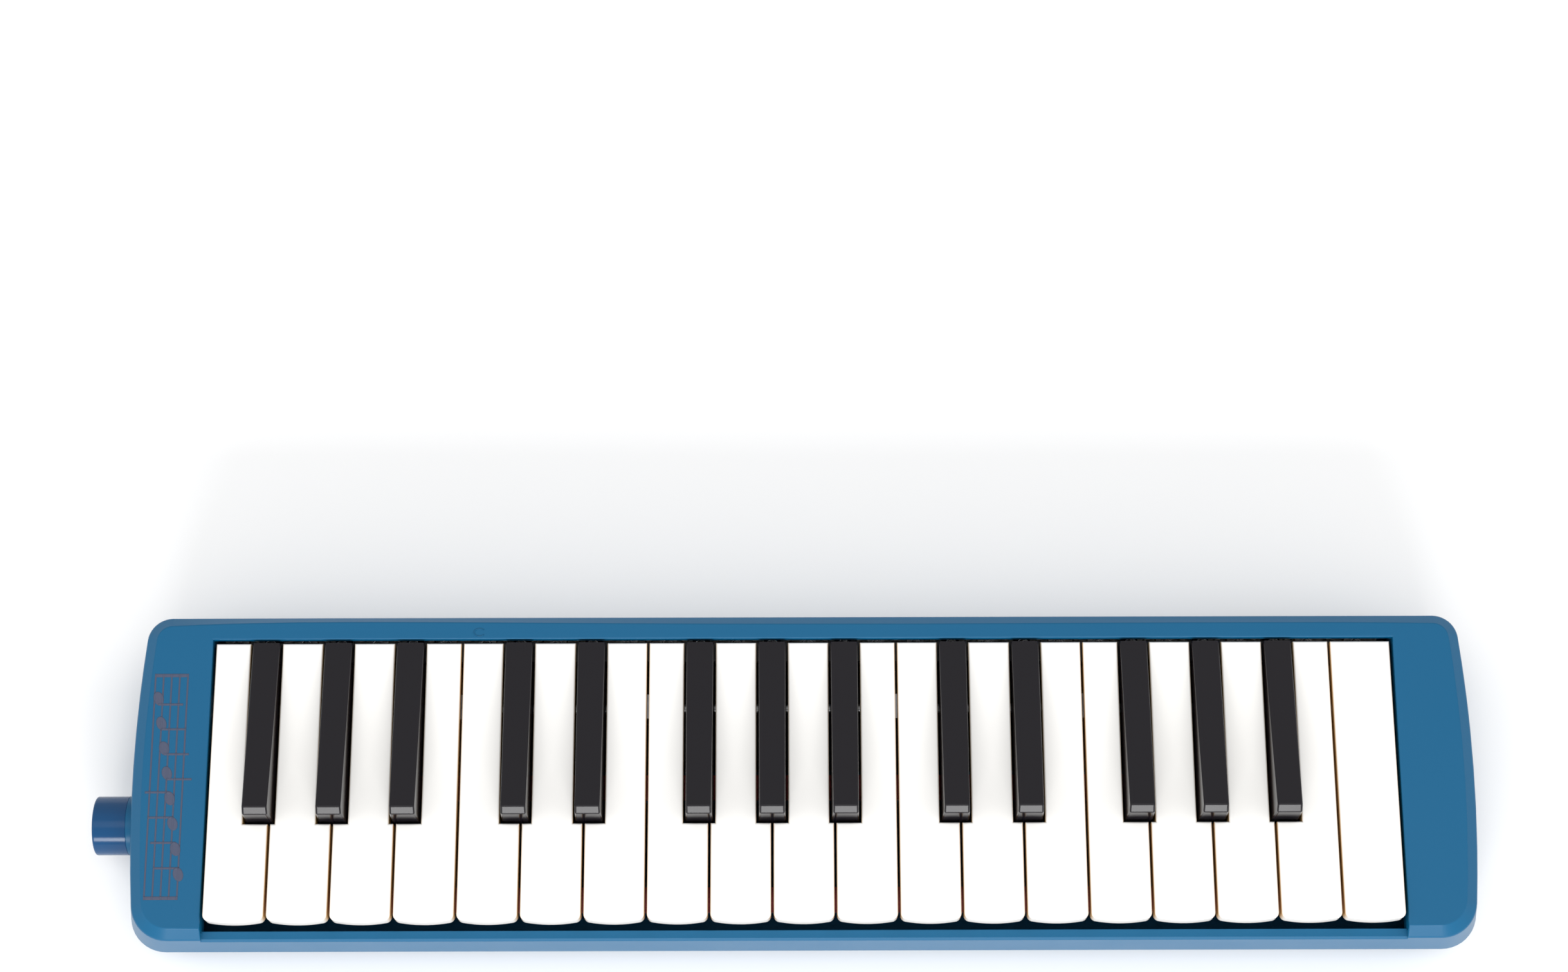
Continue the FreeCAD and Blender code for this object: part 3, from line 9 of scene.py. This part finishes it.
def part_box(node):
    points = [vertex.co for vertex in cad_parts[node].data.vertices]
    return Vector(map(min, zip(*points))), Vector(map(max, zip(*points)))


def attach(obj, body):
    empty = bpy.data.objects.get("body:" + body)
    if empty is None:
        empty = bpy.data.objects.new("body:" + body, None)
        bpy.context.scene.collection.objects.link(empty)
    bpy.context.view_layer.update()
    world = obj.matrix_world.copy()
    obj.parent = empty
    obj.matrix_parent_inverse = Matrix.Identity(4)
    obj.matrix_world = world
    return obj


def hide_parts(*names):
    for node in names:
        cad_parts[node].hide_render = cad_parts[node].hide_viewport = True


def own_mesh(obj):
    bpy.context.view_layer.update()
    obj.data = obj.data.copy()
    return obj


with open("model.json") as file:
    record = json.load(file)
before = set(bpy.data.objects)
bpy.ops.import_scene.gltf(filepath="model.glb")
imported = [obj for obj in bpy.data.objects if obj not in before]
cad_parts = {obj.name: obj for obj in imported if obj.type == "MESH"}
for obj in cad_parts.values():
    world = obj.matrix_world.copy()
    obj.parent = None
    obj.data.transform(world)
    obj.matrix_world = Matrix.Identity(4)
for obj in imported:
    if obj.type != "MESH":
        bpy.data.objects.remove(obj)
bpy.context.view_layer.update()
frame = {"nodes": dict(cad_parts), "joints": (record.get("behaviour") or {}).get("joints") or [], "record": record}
MM = 0.001

# ---------------------------------------------------------------- camera, floor, lights

CAMERA_ELEVATION = math.radians(72.45)
CAMERA_TURN = math.radians(-0.15)
CAMERA_DISTANCE = 1021 * MM
CAMERA_AIM = Vector((-6.8, 96.2, 38)) * MM
CAMERA_LENS = 71.35
CAMERA_SENSOR = 36

FLOOR_REACH = 6
FLOOR_COLOUR = (0.92, 0.92, 0.92, 1)
ROOM_LIGHT = 0.88
LIGHT_AIM = Vector((0, 0, 30)) * MM
# name, place as azimuth, elevation and distance, size, power
SOFTBOXES = (
    ("front softbox", (0, 24, 1.7), (1.3, 0.42), 22),
    ("overhead softbox", (0, 84, 2.3), (1.4, 0.9), 6),
    ("left fill", (-80, 40, 1.6), (0.8, 0.8), 2),
    ("right fill", (80, 40, 1.6), (0.8, 0.8), 2),
)


def add_camera():
    camera = bpy.data.objects.new("camera", bpy.data.cameras.new("camera"))
    bpy.context.collection.objects.link(camera)
    camera.data.lens = CAMERA_LENS
    camera.data.sensor_width = CAMERA_SENSOR
    camera.data.clip_start = 0.01
    back = Vector((0, -math.cos(CAMERA_ELEVATION), math.sin(CAMERA_ELEVATION)))
    camera.location = CAMERA_AIM + back * CAMERA_DISTANCE
    camera.rotation_euler = (math.pi / 2 - CAMERA_ELEVATION, 0, CAMERA_TURN)
    bpy.context.scene.camera = camera


def add_light(name, place, size, power):
    lamp = bpy.data.lights.new(name, "AREA")
    lamp.shape = "RECTANGLE"
    lamp.size, lamp.size_y = size
    lamp.energy = power
    light = bpy.data.objects.new(name, lamp)
    bpy.context.collection.objects.link(light)
    light.location = place
    light.rotation_euler = (LIGHT_AIM - place).to_track_quat("-Z", "Y").to_euler()


def on_dome(azimuth, elevation, distance):
    """A place on a dome over the object; azimuth 0 is in front of the keys."""
    turn, lift = math.radians(azimuth), math.radians(elevation)
    return Vector((math.sin(turn) * math.cos(lift), -math.cos(turn) * math.cos(lift),
                   math.sin(lift))) * distance


def add_floor():
    mesh = bpy.data.meshes.new("floor")
    corners = ((-1, -1), (1, -1), (1, 1), (-1, 1))
    mesh.from_pydata([(x * FLOOR_REACH, y * FLOOR_REACH, 0) for x, y in corners], [],
                     [(0, 1, 2, 3)])
    floor = bpy.data.objects.new("floor", mesh)
    bpy.context.collection.objects.link(floor)
    material = bpy.data.materials.new("pale floor")
    material.use_nodes = True
    shader = material.node_tree.nodes["Principled BSDF"]
    shader.inputs["Base Color"].default_value = FLOOR_COLOUR
    shader.inputs["Roughness"].default_value = 0.9
    shader.inputs["Specular IOR Level"].default_value = 0.1
    mesh.materials.append(material)


def add_lights():
    world = bpy.data.worlds.new("studio")
    bpy.context.scene.world = world
    world.use_nodes = True
    background = world.node_tree.nodes["Background"]
    background.inputs["Color"].default_value = (1, 1, 1, 1)
    background.inputs["Strength"].default_value = ROOM_LIGHT
    for name, place, size, power in SOFTBOXES:
        add_light(name, on_dome(*place), size, power)
    bpy.context.scene.view_settings.view_transform = "Standard"


# ---------------------------------------------------------------- node groups shared by finishes


def new_group(name, inputs, outputs):
    """An empty shader node group with named inputs and outputs."""
    group = bpy.data.node_groups.new(name, "ShaderNodeTree")
    for label, kind, default in inputs:
        socket = group.interface.new_socket(label, in_out="INPUT", socket_type=kind)
        socket.default_value = default
    for label, kind in outputs:
        group.interface.new_socket(label, in_out="OUTPUT", socket_type=kind)
    start = group.nodes.new("NodeGroupInput")
    end = group.nodes.new("NodeGroupOutput")
    return group, start, end


def connect(tree, *pairs):
    for source, target in pairs:
        tree.links.new(source, target)


def maths(tree, operation, *values):
    """A Math node; each value is a number or a socket."""
    node = tree.nodes.new("ShaderNodeMath")
    node.operation = operation
    node.use_clamp = operation != "MULTIPLY_ADD"
    for socket, item in zip(node.inputs, values):
        if isinstance(item, (int, float)):
            socket.default_value = item
        else:
            tree.links.new(item, socket)
    return node.outputs[0]


def noise(tree, place, scale, detail=2.0):
    node = tree.nodes.new("ShaderNodeTexNoise")
    node.inputs["Detail"].default_value = detail
    if isinstance(scale, (int, float)):
        node.inputs["Scale"].default_value = scale
    else:
        tree.links.new(scale, node.inputs["Scale"])
    tree.links.new(place, node.inputs["Vector"])
    return node.outputs["Fac"]


def moulded_group():
    """Moulded plastic: slow colour drift, fine grain, uneven roughness and a softened edge."""
    group, start, end = new_group(
        "moulded plastic",
        [("Colour", "NodeSocketColor", (1, 1, 1, 1)),
         ("Drift colour", "NodeSocketColor", (1, 1, 1, 1)),
         ("Drift", "NodeSocketFloat", 0.3), ("Grain scale", "NodeSocketFloat", 900),
         ("Grain height", "NodeSocketFloat", 0.02), ("Roughness", "NodeSocketFloat", 0.3),
         ("Roughness spread", "NodeSocketFloat", 0.08), ("Edge radius", "NodeSocketFloat", 0.0003)],
        [("Colour", "NodeSocketColor"), ("Roughness", "NodeSocketFloat"),
         ("Normal", "NodeSocketVector")])
    place = group.nodes.new("ShaderNodeTexCoord").outputs["Object"]
    slow = noise(group, place, 14.0)
    mix = group.nodes.new("ShaderNodeMix")
    mix.data_type = "RGBA"
    drift = maths(group, "MULTIPLY", slow, start.outputs["Drift"])
    connect(group, (drift, mix.inputs["Factor"]), (start.outputs["Colour"], mix.inputs[6]),
            (start.outputs["Drift colour"], mix.inputs[7]), (mix.outputs[2], end.inputs["Colour"]))
    smudge = noise(group, place, 60.0, 4.0)
    spread = maths(group, "MULTIPLY", smudge, start.outputs["Roughness spread"])
    rough = maths(group, "ADD", start.outputs["Roughness"], spread)
    grain = noise(group, place, start.outputs["Grain scale"], 3.0)
    edge = group.nodes.new("ShaderNodeBevel")
    edge.samples = 6
    bump = group.nodes.new("ShaderNodeBump")
    bump.inputs["Distance"].default_value = 0.0002
    connect(group, (rough, end.inputs["Roughness"]), (grain, bump.inputs["Height"]),
            (start.outputs["Grain height"], bump.inputs["Strength"]),
            (start.outputs["Edge radius"], edge.inputs["Radius"]),
            (edge.outputs[0], bump.inputs["Normal"]), (bump.outputs[0], end.inputs["Normal"]))
    return group


def flank_group():
    """A mask of the faces that look along X, such as the sides of a key, where painted shade goes."""
    group, start, end = new_group("flanks", [("Sharpness", "NodeSocketFloat", 3)],
                                  [("Mask", "NodeSocketFloat")])
    surface = group.nodes.new("ShaderNodeTexCoord").outputs["Normal"]
    facing = group.nodes.new("ShaderNodeSeparateXYZ")
    connect(group, (surface, facing.inputs[0]))
    sideways = maths(group, "ABSOLUTE", facing.outputs["X"])
    mask = maths(group, "POWER", sideways, start.outputs["Sharpness"])
    connect(group, (mask, end.inputs["Mask"]))
    return group


MOULDED = moulded_group()
FLANKS = flank_group()


def blank_material(name):
    material = bpy.data.materials.new(name)
    material.use_nodes = True
    return material, material.node_tree, material.node_tree.nodes["Principled BSDF"]


def plastic(name, colour, drift_colour, roughness, drift=0.3, grain=0.02, spread=0.08,
            edge=0.3 * MM, specular=0.5):
    """A moulded plastic finish; colours are linear."""
    material, tree, shader = blank_material(name)
    body = tree.nodes.new("ShaderNodeGroup")
    body.node_tree = MOULDED
    for label, item in (("Colour", (*colour, 1)), ("Drift colour", (*drift_colour, 1)),
                        ("Drift", drift), ("Grain height", grain), ("Roughness", roughness),
                        ("Roughness spread", spread), ("Edge radius", edge)):
        body.inputs[label].default_value = item
    shader.inputs["Specular IOR Level"].default_value = specular
    connect(tree, (body.outputs["Colour"], shader.inputs["Base Color"]),
            (body.outputs["Roughness"], shader.inputs["Roughness"]),
            (body.outputs["Normal"], shader.inputs["Normal"]))
    return material


def metal(name, colour, roughness, streak_scale, streak_direction):
    """Drawn or brushed metal with fine streaks across one direction."""
    material, tree, shader = blank_material(name)
    place = tree.nodes.new("ShaderNodeTexCoord").outputs["Object"]
    stretch = tree.nodes.new("ShaderNodeMapping")
    stretch.inputs["Scale"].default_value = streak_direction
    connect(tree, (place, stretch.inputs["Vector"]))
    streaks = noise(tree, stretch.outputs[0], streak_scale, 3.0)
    rough = maths(tree, "MULTIPLY_ADD", streaks, 0.18, roughness)
    ramp = tree.nodes.new("ShaderNodeValToRGB")
    ramp.color_ramp.elements[0].color = (*[part * 0.75 for part in colour], 1)
    ramp.color_ramp.elements[1].color = (*colour, 1)
    bump = tree.nodes.new("ShaderNodeBump")
    bump.inputs["Strength"].default_value = 0.1
    bump.inputs["Distance"].default_value = 0.0001
    shader.inputs["Metallic"].default_value = 1
    connect(tree, (streaks, ramp.inputs["Fac"]), (ramp.outputs[0], shader.inputs["Base Color"]),
            (rough, shader.inputs["Roughness"]), (streaks, bump.inputs["Height"]),
            (bump.outputs[0], shader.inputs["Normal"]))
    return material


def soft_stuff(name, colour, fleck, scale, height, roughness, sheen):
    """Felt or rubber: a fine uneven surface with flecks of a second colour."""
    material, tree, shader = blank_material(name)
    place = tree.nodes.new("ShaderNodeTexCoord").outputs["Object"]
    fibres = noise(tree, place, scale, 6.0)
    ramp = tree.nodes.new("ShaderNodeValToRGB")
    ramp.color_ramp.elements[0].position = 0.35
    ramp.color_ramp.elements[0].color = (*colour, 1)
    ramp.color_ramp.elements[1].position = 0.75
    ramp.color_ramp.elements[1].color = (*fleck, 1)
    bump = tree.nodes.new("ShaderNodeBump")
    bump.inputs["Strength"].default_value = height
    bump.inputs["Distance"].default_value = 0.0004
    shader.inputs["Roughness"].default_value = roughness
    shader.inputs["Sheen Weight"].default_value = sheen
    connect(tree, (fibres, ramp.inputs["Fac"]), (ramp.outputs[0], shader.inputs["Base Color"]),
            (fibres, bump.inputs["Height"]), (bump.outputs[0], shader.inputs["Normal"]))
    return material


def paint_flank_shade(material, tint, strength):
    """Tint the faces of a moulded part that look along X with painted shade: a tan that stands in for the shade in
    the gaps between keys.
    """
    tree = material.node_tree
    shader = tree.nodes["Principled BSDF"]
    flanks = tree.nodes.new("ShaderNodeGroup")
    flanks.node_tree = FLANKS
    mix = tree.nodes.new("ShaderNodeMix")
    mix.data_type = "RGBA"
    mix.inputs[7].default_value = (*tint, 1)
    share = maths(tree, "MULTIPLY", flanks.outputs["Mask"], strength)
    connect(tree, (share, mix.inputs["Factor"]),
            (shader.inputs["Base Color"].links[0].from_socket, mix.inputs[6]),
            (mix.outputs[2], shader.inputs["Base Color"]))
    return material


FINISHES = {
    "case_blue": plastic("blue case plastic", (0.002, 0.093, 0.205), (0.003, 0.102, 0.220),
                         0.28, drift=0.5, grain=0.03, specular=0.26),
    "socket_blue": plastic("blue socket plastic", (0.000, 0.050, 0.148),
                           (0.001, 0.058, 0.160), 0.12, grain=0.01, edge=0.4 * MM,
                           specular=0.33),
    # painted shade: the white keys' sides get a strong tan tint that stands in for the shade in the gaps between
    # keys
    "white_key": paint_flank_shade(
        plastic("white key plastic", (0.88, 0.87, 0.85), (0.84, 0.82, 0.77), 0.18, drift=0.25,
                grain=0.01, edge=0.35 * MM), (0.60, 0.36, 0.12), 0.95),
    "black_key": plastic("black key plastic", (0.0065, 0.0055, 0.0080), (0.011, 0.009, 0.012),
                         0.14, grain=0.015, edge=0.35 * MM, specular=0.26),
    "white_comb": plastic("white comb plastic", (0.75, 0.72, 0.66), (0.68, 0.64, 0.56), 0.4),
    "dark_plastic": plastic("dark inner plastic", (0.012, 0.012, 0.013), (0.02, 0.02, 0.02), 0.5,
                            grain=0.08),
    "steel": metal("bright steel", (0.62, 0.62, 0.63), 0.22, 500, (1, 1, 0.1)),
    "spring_steel": metal("spring steel", (0.72, 0.72, 0.73), 0.18, 900, (1, 1, 1)),
    "brass": metal("reed brass", (0.78, 0.60, 0.30), 0.28, 400, (1, 0.05, 1)),
    "felt": soft_stuff("red felt", (0.20, 0.02, 0.02), (0.34, 0.05, 0.05), 2500, 0.8, 0.95, 0.4),
    "rubber": soft_stuff("black rubber", (0.015, 0.015, 0.015), (0.03, 0.03, 0.03), 1500, 0.3,
                         0.7, 0.0),
}


def finish_frame():
    """Give every CAD node the finish of its slot."""
    slots = {entry["node"]: entry["material_slot"] for entry in frame["record"]["subparts"]}
    for name, node in frame["nodes"].items():
        finish = FINISHES[slots[name]]
        if not node.data.materials:
            node.data.materials.append(finish)
        for place in range(len(node.data.materials)):
            node.data.materials[place] = finish


# ---------------------------------------------------------------- coil springs

COIL_SEGMENTS = 20
WIRE_SIDES = 8
WIRE_RADIUS = 0.225 * MM
KEY_SPRING_TURNS = 5.0
DRAIN_SPRING_TURNS = 4.0
COIL_SPACING = 2 * MM


def add_piece(name, mesh, body, finish):
    """A finished mesh as a piece that rides on a body."""
    mesh.name = name
    piece = bpy.data.objects.new(name, mesh)
    bpy.context.collection.objects.link(piece)
    if not mesh.materials:
        mesh.materials.append(finish)
    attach(piece, body)
    return piece


def spring_tree():
    """A coil spring along Z: an open coil between two closed end turns."""
    tree = bpy.data.node_groups.new("coil spring", "GeometryNodeTree")
    for label in ("Coil radius", "Wire radius", "Height", "Turns"):
        tree.interface.new_socket(label, in_out="INPUT", socket_type="NodeSocketFloat")
    tree.interface.new_socket("Wire", in_out="INPUT", socket_type="NodeSocketMaterial")
    tree.interface.new_socket("Spring", in_out="OUTPUT", socket_type="NodeSocketGeometry")
    sizes = tree.nodes.new("NodeGroupInput").outputs
    end = tree.nodes.new("NodeGroupOutput")
    coil = tree.nodes.new("GeometryNodeCurveSpiral")
    coil.inputs["Resolution"].default_value = COIL_SEGMENTS
    turn = tree.nodes.new("GeometryNodeCurvePrimitiveCircle")
    turn.inputs["Resolution"].default_value = COIL_SEGMENTS
    section = tree.nodes.new("GeometryNodeCurvePrimitiveCircle")
    section.inputs["Resolution"].default_value = WIRE_SIDES
    end_turns = maths(tree, "MULTIPLY", sizes["Wire radius"], 4)
    rise = maths(tree, "SUBTRACT", sizes["Height"], end_turns)
    join = tree.nodes.new("GeometryNodeJoinGeometry")
    connect(tree, (sizes["Turns"], coil.inputs["Rotations"]),
            (sizes["Coil radius"], coil.inputs["Start Radius"]),
            (sizes["Coil radius"], coil.inputs["End Radius"]),
            (rise, coil.inputs["Height"]), (sizes["Coil radius"], turn.inputs["Radius"]),
            (sizes["Wire radius"], section.inputs["Radius"]))
    first_turn = sizes["Wire radius"]
    last_turn = maths(tree, "SUBTRACT", sizes["Height"], sizes["Wire radius"])
    coil_start = maths(tree, "MULTIPLY", sizes["Wire radius"], 2)
    for curve, height in ((coil, coil_start), (turn, first_turn), (turn, last_turn)):
        place = tree.nodes.new("ShaderNodeCombineXYZ")
        move = tree.nodes.new("GeometryNodeTransform")
        connect(tree, (height, place.inputs["Z"]), (curve.outputs[0], move.inputs["Geometry"]),
                (place.outputs[0], move.inputs["Translation"]),
                (move.outputs[0], join.inputs[0]))
    sweep = tree.nodes.new("GeometryNodeCurveToMesh")
    sweep.inputs["Fill Caps"].default_value = True
    real = tree.nodes.new("GeometryNodeRealizeInstances")
    paint = tree.nodes.new("GeometryNodeSetMaterial")
    connect(tree, (join.outputs[0], sweep.inputs["Curve"]),
            (section.outputs[0], sweep.inputs["Profile Curve"]),
            (sweep.outputs[0], real.inputs[0]), (real.outputs[0], paint.inputs["Geometry"]),
            (sizes["Wire"], paint.inputs["Material"]), (paint.outputs[0], end.inputs["Spring"]))
    return tree


def grow(tree, **inputs):
    """The mesh that a Geometry Nodes tree makes with these inputs."""
    holder = bpy.data.objects.new("holder", bpy.data.meshes.new("holder"))
    bpy.context.collection.objects.link(holder)
    modifier = holder.modifiers.new("grow", "NODES")
    modifier.node_group = tree
    for item in tree.interface.items_tree:
        key = item.name.lower().replace(" ", "_")
        if item.in_out == "INPUT" and key in inputs:
            modifier[item.identifier] = inputs[key]
    view = bpy.context.evaluated_depsgraph_get()
    mesh = bpy.data.meshes.new_from_object(holder.evaluated_get(view), depsgraph=view)
    holder.modifiers.remove(modifier)
    bpy.data.objects.remove(holder)
    return mesh


def key_names():
    """The keys from the lowest up."""
    joints = {joint["name"] for joint in frame["joints"]}
    return [entry["node"] for entry in frame["record"]["subparts"]
            if entry["node"] + "_press" in joints]


def spring_lines():
    """The X of each coil in the CAD springs, from the lowest key up."""
    groups = []
    for x in sorted(vertex.co.x for vertex in frame["nodes"]["key_springs"].data.vertices):
        if not groups or x - groups[-1][-1] > COIL_SPACING:
            groups.append([])
        groups[-1].append(x)
    return [(group[0] + group[-1]) / 2 for group in groups]


def add_key_springs(tree):
    low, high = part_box("key_springs")
    depth = high[1] - low[1]
    shape = grow(tree, coil_radius=depth / 2 - WIRE_RADIUS, wire_radius=WIRE_RADIUS,
                 height=high[2] - low[2], turns=KEY_SPRING_TURNS,
                 wire=FINISHES["spring_steel"])
    for name, x in zip(key_names(), spring_lines(), strict=True):
        mesh = shape.copy()
        mesh.transform(Matrix.Translation((x, (low[1] + high[1]) / 2, low[2])))
        spring = add_piece(name + "_coil", mesh, "case", None)
        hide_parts("key_springs")
        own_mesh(spring)


def add_drain_spring(tree):
    low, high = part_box("drain_spring")
    middle = [(a + b) / 2 for a, b in zip(low, high)]
    mesh = grow(tree, coil_radius=(high[0] - low[0]) / 2 - WIRE_RADIUS,
                wire_radius=WIRE_RADIUS, height=high[1] - low[1],
                turns=DRAIN_SPRING_TURNS, wire=FINISHES["spring_steel"])
    lay_along_y = Matrix.Rotation(-math.pi / 2, 4, "X")
    mesh.transform(Matrix.Translation((middle[0], low[1], middle[2])) @ lay_along_y)
    spring = add_piece("drain_coil", mesh, "case", None)
    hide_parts("drain_spring")
    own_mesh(spring)


# ---------------------------------------------------------------- print and moulded mark

FRONT_TOP = 36.2 * MM
REAR_TOP = 39.2 * MM
(CASE_LEFT, CASE_FRONT, _), (_, CASE_REAR, _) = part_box("upper_case")
LINE_RISE = 0.02 * MM
STEM_RISE = 0.03 * MM
NOTE_RISE = 0.04 * MM
STAVE_LINES = 5
STAVE_LINE = 0.55 * MM
STAVE_SPACE = 2.6 * MM
STAVE_FRONT = -40 * MM
STAVE_REAR = 33 * MM
STAVE_INSET = 9.5 * MM
NOTE_LONG = 2.3 * MM
NOTE_WIDE = 1.6 * MM
NOTE_TILT = math.radians(-20)
NOTE_SIDES = 28
STEM_LENGTH = 8 * MM
STEM_WIDTH = 0.7 * MM
NOTES = 8
MIDDLE_STEP = 4


def top_height(y):
    """The case's sloping top at a depth."""
    return FRONT_TOP + (REAR_TOP - FRONT_TOP) * (y - CASE_FRONT) / (CASE_REAR - CASE_FRONT)


def add_print_shape(bm, outline, rise):
    """A thin flat shape on the case's top; its outline runs anticlockwise from above."""
    lower = [bm.verts.new((x, y, top_height(y) - rise)) for x, y in outline]
    upper = [bm.verts.new((x, y, top_height(y) + rise)) for x, y in outline]
    bm.faces.new(upper)
    bm.faces.new(lower[::-1])
    for number in range(len(outline)):
        after = (number + 1) % len(outline)
        bm.faces.new((lower[number], lower[after], upper[after], upper[number]))


def bar_outline(x, y, width, length):
    """A bar along Y, from the middle of its front end."""
    return [(x - width / 2, y), (x + width / 2, y), (x + width / 2, y + length),
            (x - width / 2, y + length)]


def note_outline(x, y):
    outline = []
    for number in range(NOTE_SIDES):
        turn = 2 * math.pi * number / NOTE_SIDES
        along, across = NOTE_LONG * math.cos(turn), NOTE_WIDE * math.sin(turn)
        outline.append((x + across * math.cos(NOTE_TILT) + along * math.sin(NOTE_TILT),
                        y - across * math.sin(NOTE_TILT) + along * math.cos(NOTE_TILT)))
    return outline[::-1]


def add_print():
    """A printed stave with a rising row of notes along the left cheek, read from the right."""
    bm = bmesh.new()
    first_line = CASE_LEFT + STAVE_INSET
    length = STAVE_REAR - STAVE_FRONT
    for number in range(STAVE_LINES):
        add_print_shape(bm, bar_outline(first_line + number * STAVE_SPACE, STAVE_FRONT,
                                        STAVE_LINE, length), LINE_RISE)
    width = (STAVE_LINES - 1) * STAVE_SPACE
    for y in (STAVE_FRONT, STAVE_REAR - STAVE_LINE * 2):
        add_print_shape(bm, bar_outline(first_line + width / 2, y, width + STAVE_LINE,
                                        STAVE_LINE * 2), STEM_RISE)
    pitch = length / (NOTES + 1)
    for step in range(NOTES):
        x = first_line + width - step * STAVE_SPACE / 2
        y = STAVE_FRONT + (step + 1) * pitch
        add_print_shape(bm, note_outline(x, y), NOTE_RISE)
        stem_up = step < MIDDLE_STEP
        start = x - STEM_LENGTH if stem_up else x
        side = y + NOTE_LONG - STEM_WIDTH if stem_up else y - NOTE_LONG
        add_print_shape(bm, bar_outline(start + STEM_LENGTH / 2, side, STEM_LENGTH, STEM_WIDTH),
                        STEM_RISE)
    mesh = bpy.data.meshes.new("cheek print")
    bm.to_mesh(mesh)
    bm.free()
    ink = plastic("grey print", (0.060, 0.072, 0.122), (0.070, 0.082, 0.134), 0.42, drift=0.6,
                  grain=0.06, specular=0.3)
    add_piece("cheek_print", mesh, "case", ink)


MARK_X = -104.6 * MM
MARK_Y = 46.4 * MM
MARK_WIDTH = 1.75 * MM
MARK_DEPTH = 1.25 * MM
MARK_GAP = math.radians(38)
MARK_STEPS = 32
RIB_HALF = 0.24 * MM
RIB_HEIGHT = 0.16 * MM
RIB_SIDES = 6


def add_mark():
    """A raised open ring on the rear rail that marks middle C."""
    bm = bmesh.new()
    rings = []
    for number in range(MARK_STEPS + 1):
        turn = MARK_GAP + (2 * math.pi - 2 * MARK_GAP) * number / MARK_STEPS
        ring = []
        for side in range(RIB_SIDES + 1):
            arc = math.pi * side / RIB_SIDES
            reach = 1 + RIB_HALF * math.cos(arc) / MARK_WIDTH
            x = MARK_X + MARK_WIDTH * reach * math.cos(turn)
            y = MARK_Y + MARK_DEPTH * reach * math.sin(turn)
            ring.append(bm.verts.new((x, y, top_height(y) + RIB_HEIGHT * math.sin(arc))))
        rings.append(ring)
    for before, after in zip(rings, rings[1:]):
        for side in range(RIB_SIDES + 1):
            beyond = (side + 1) % (RIB_SIDES + 1)
            bm.faces.new((before[side], after[side], after[beyond], before[beyond]))
    bm.faces.new(rings[0])
    bm.faces.new(rings[-1][::-1])
    bmesh.ops.recalc_face_normals(bm, faces=bm.faces)
    mesh = bpy.data.meshes.new("mark")
    bm.to_mesh(mesh)
    bm.free()
    add_piece("middle_c_mark", mesh, "case", FINISHES["case_blue"])


add_camera()
add_floor()
add_lights()
finish_frame()
springs = spring_tree()
add_key_springs(springs)
add_drain_spring(springs)
add_print()
add_mark()
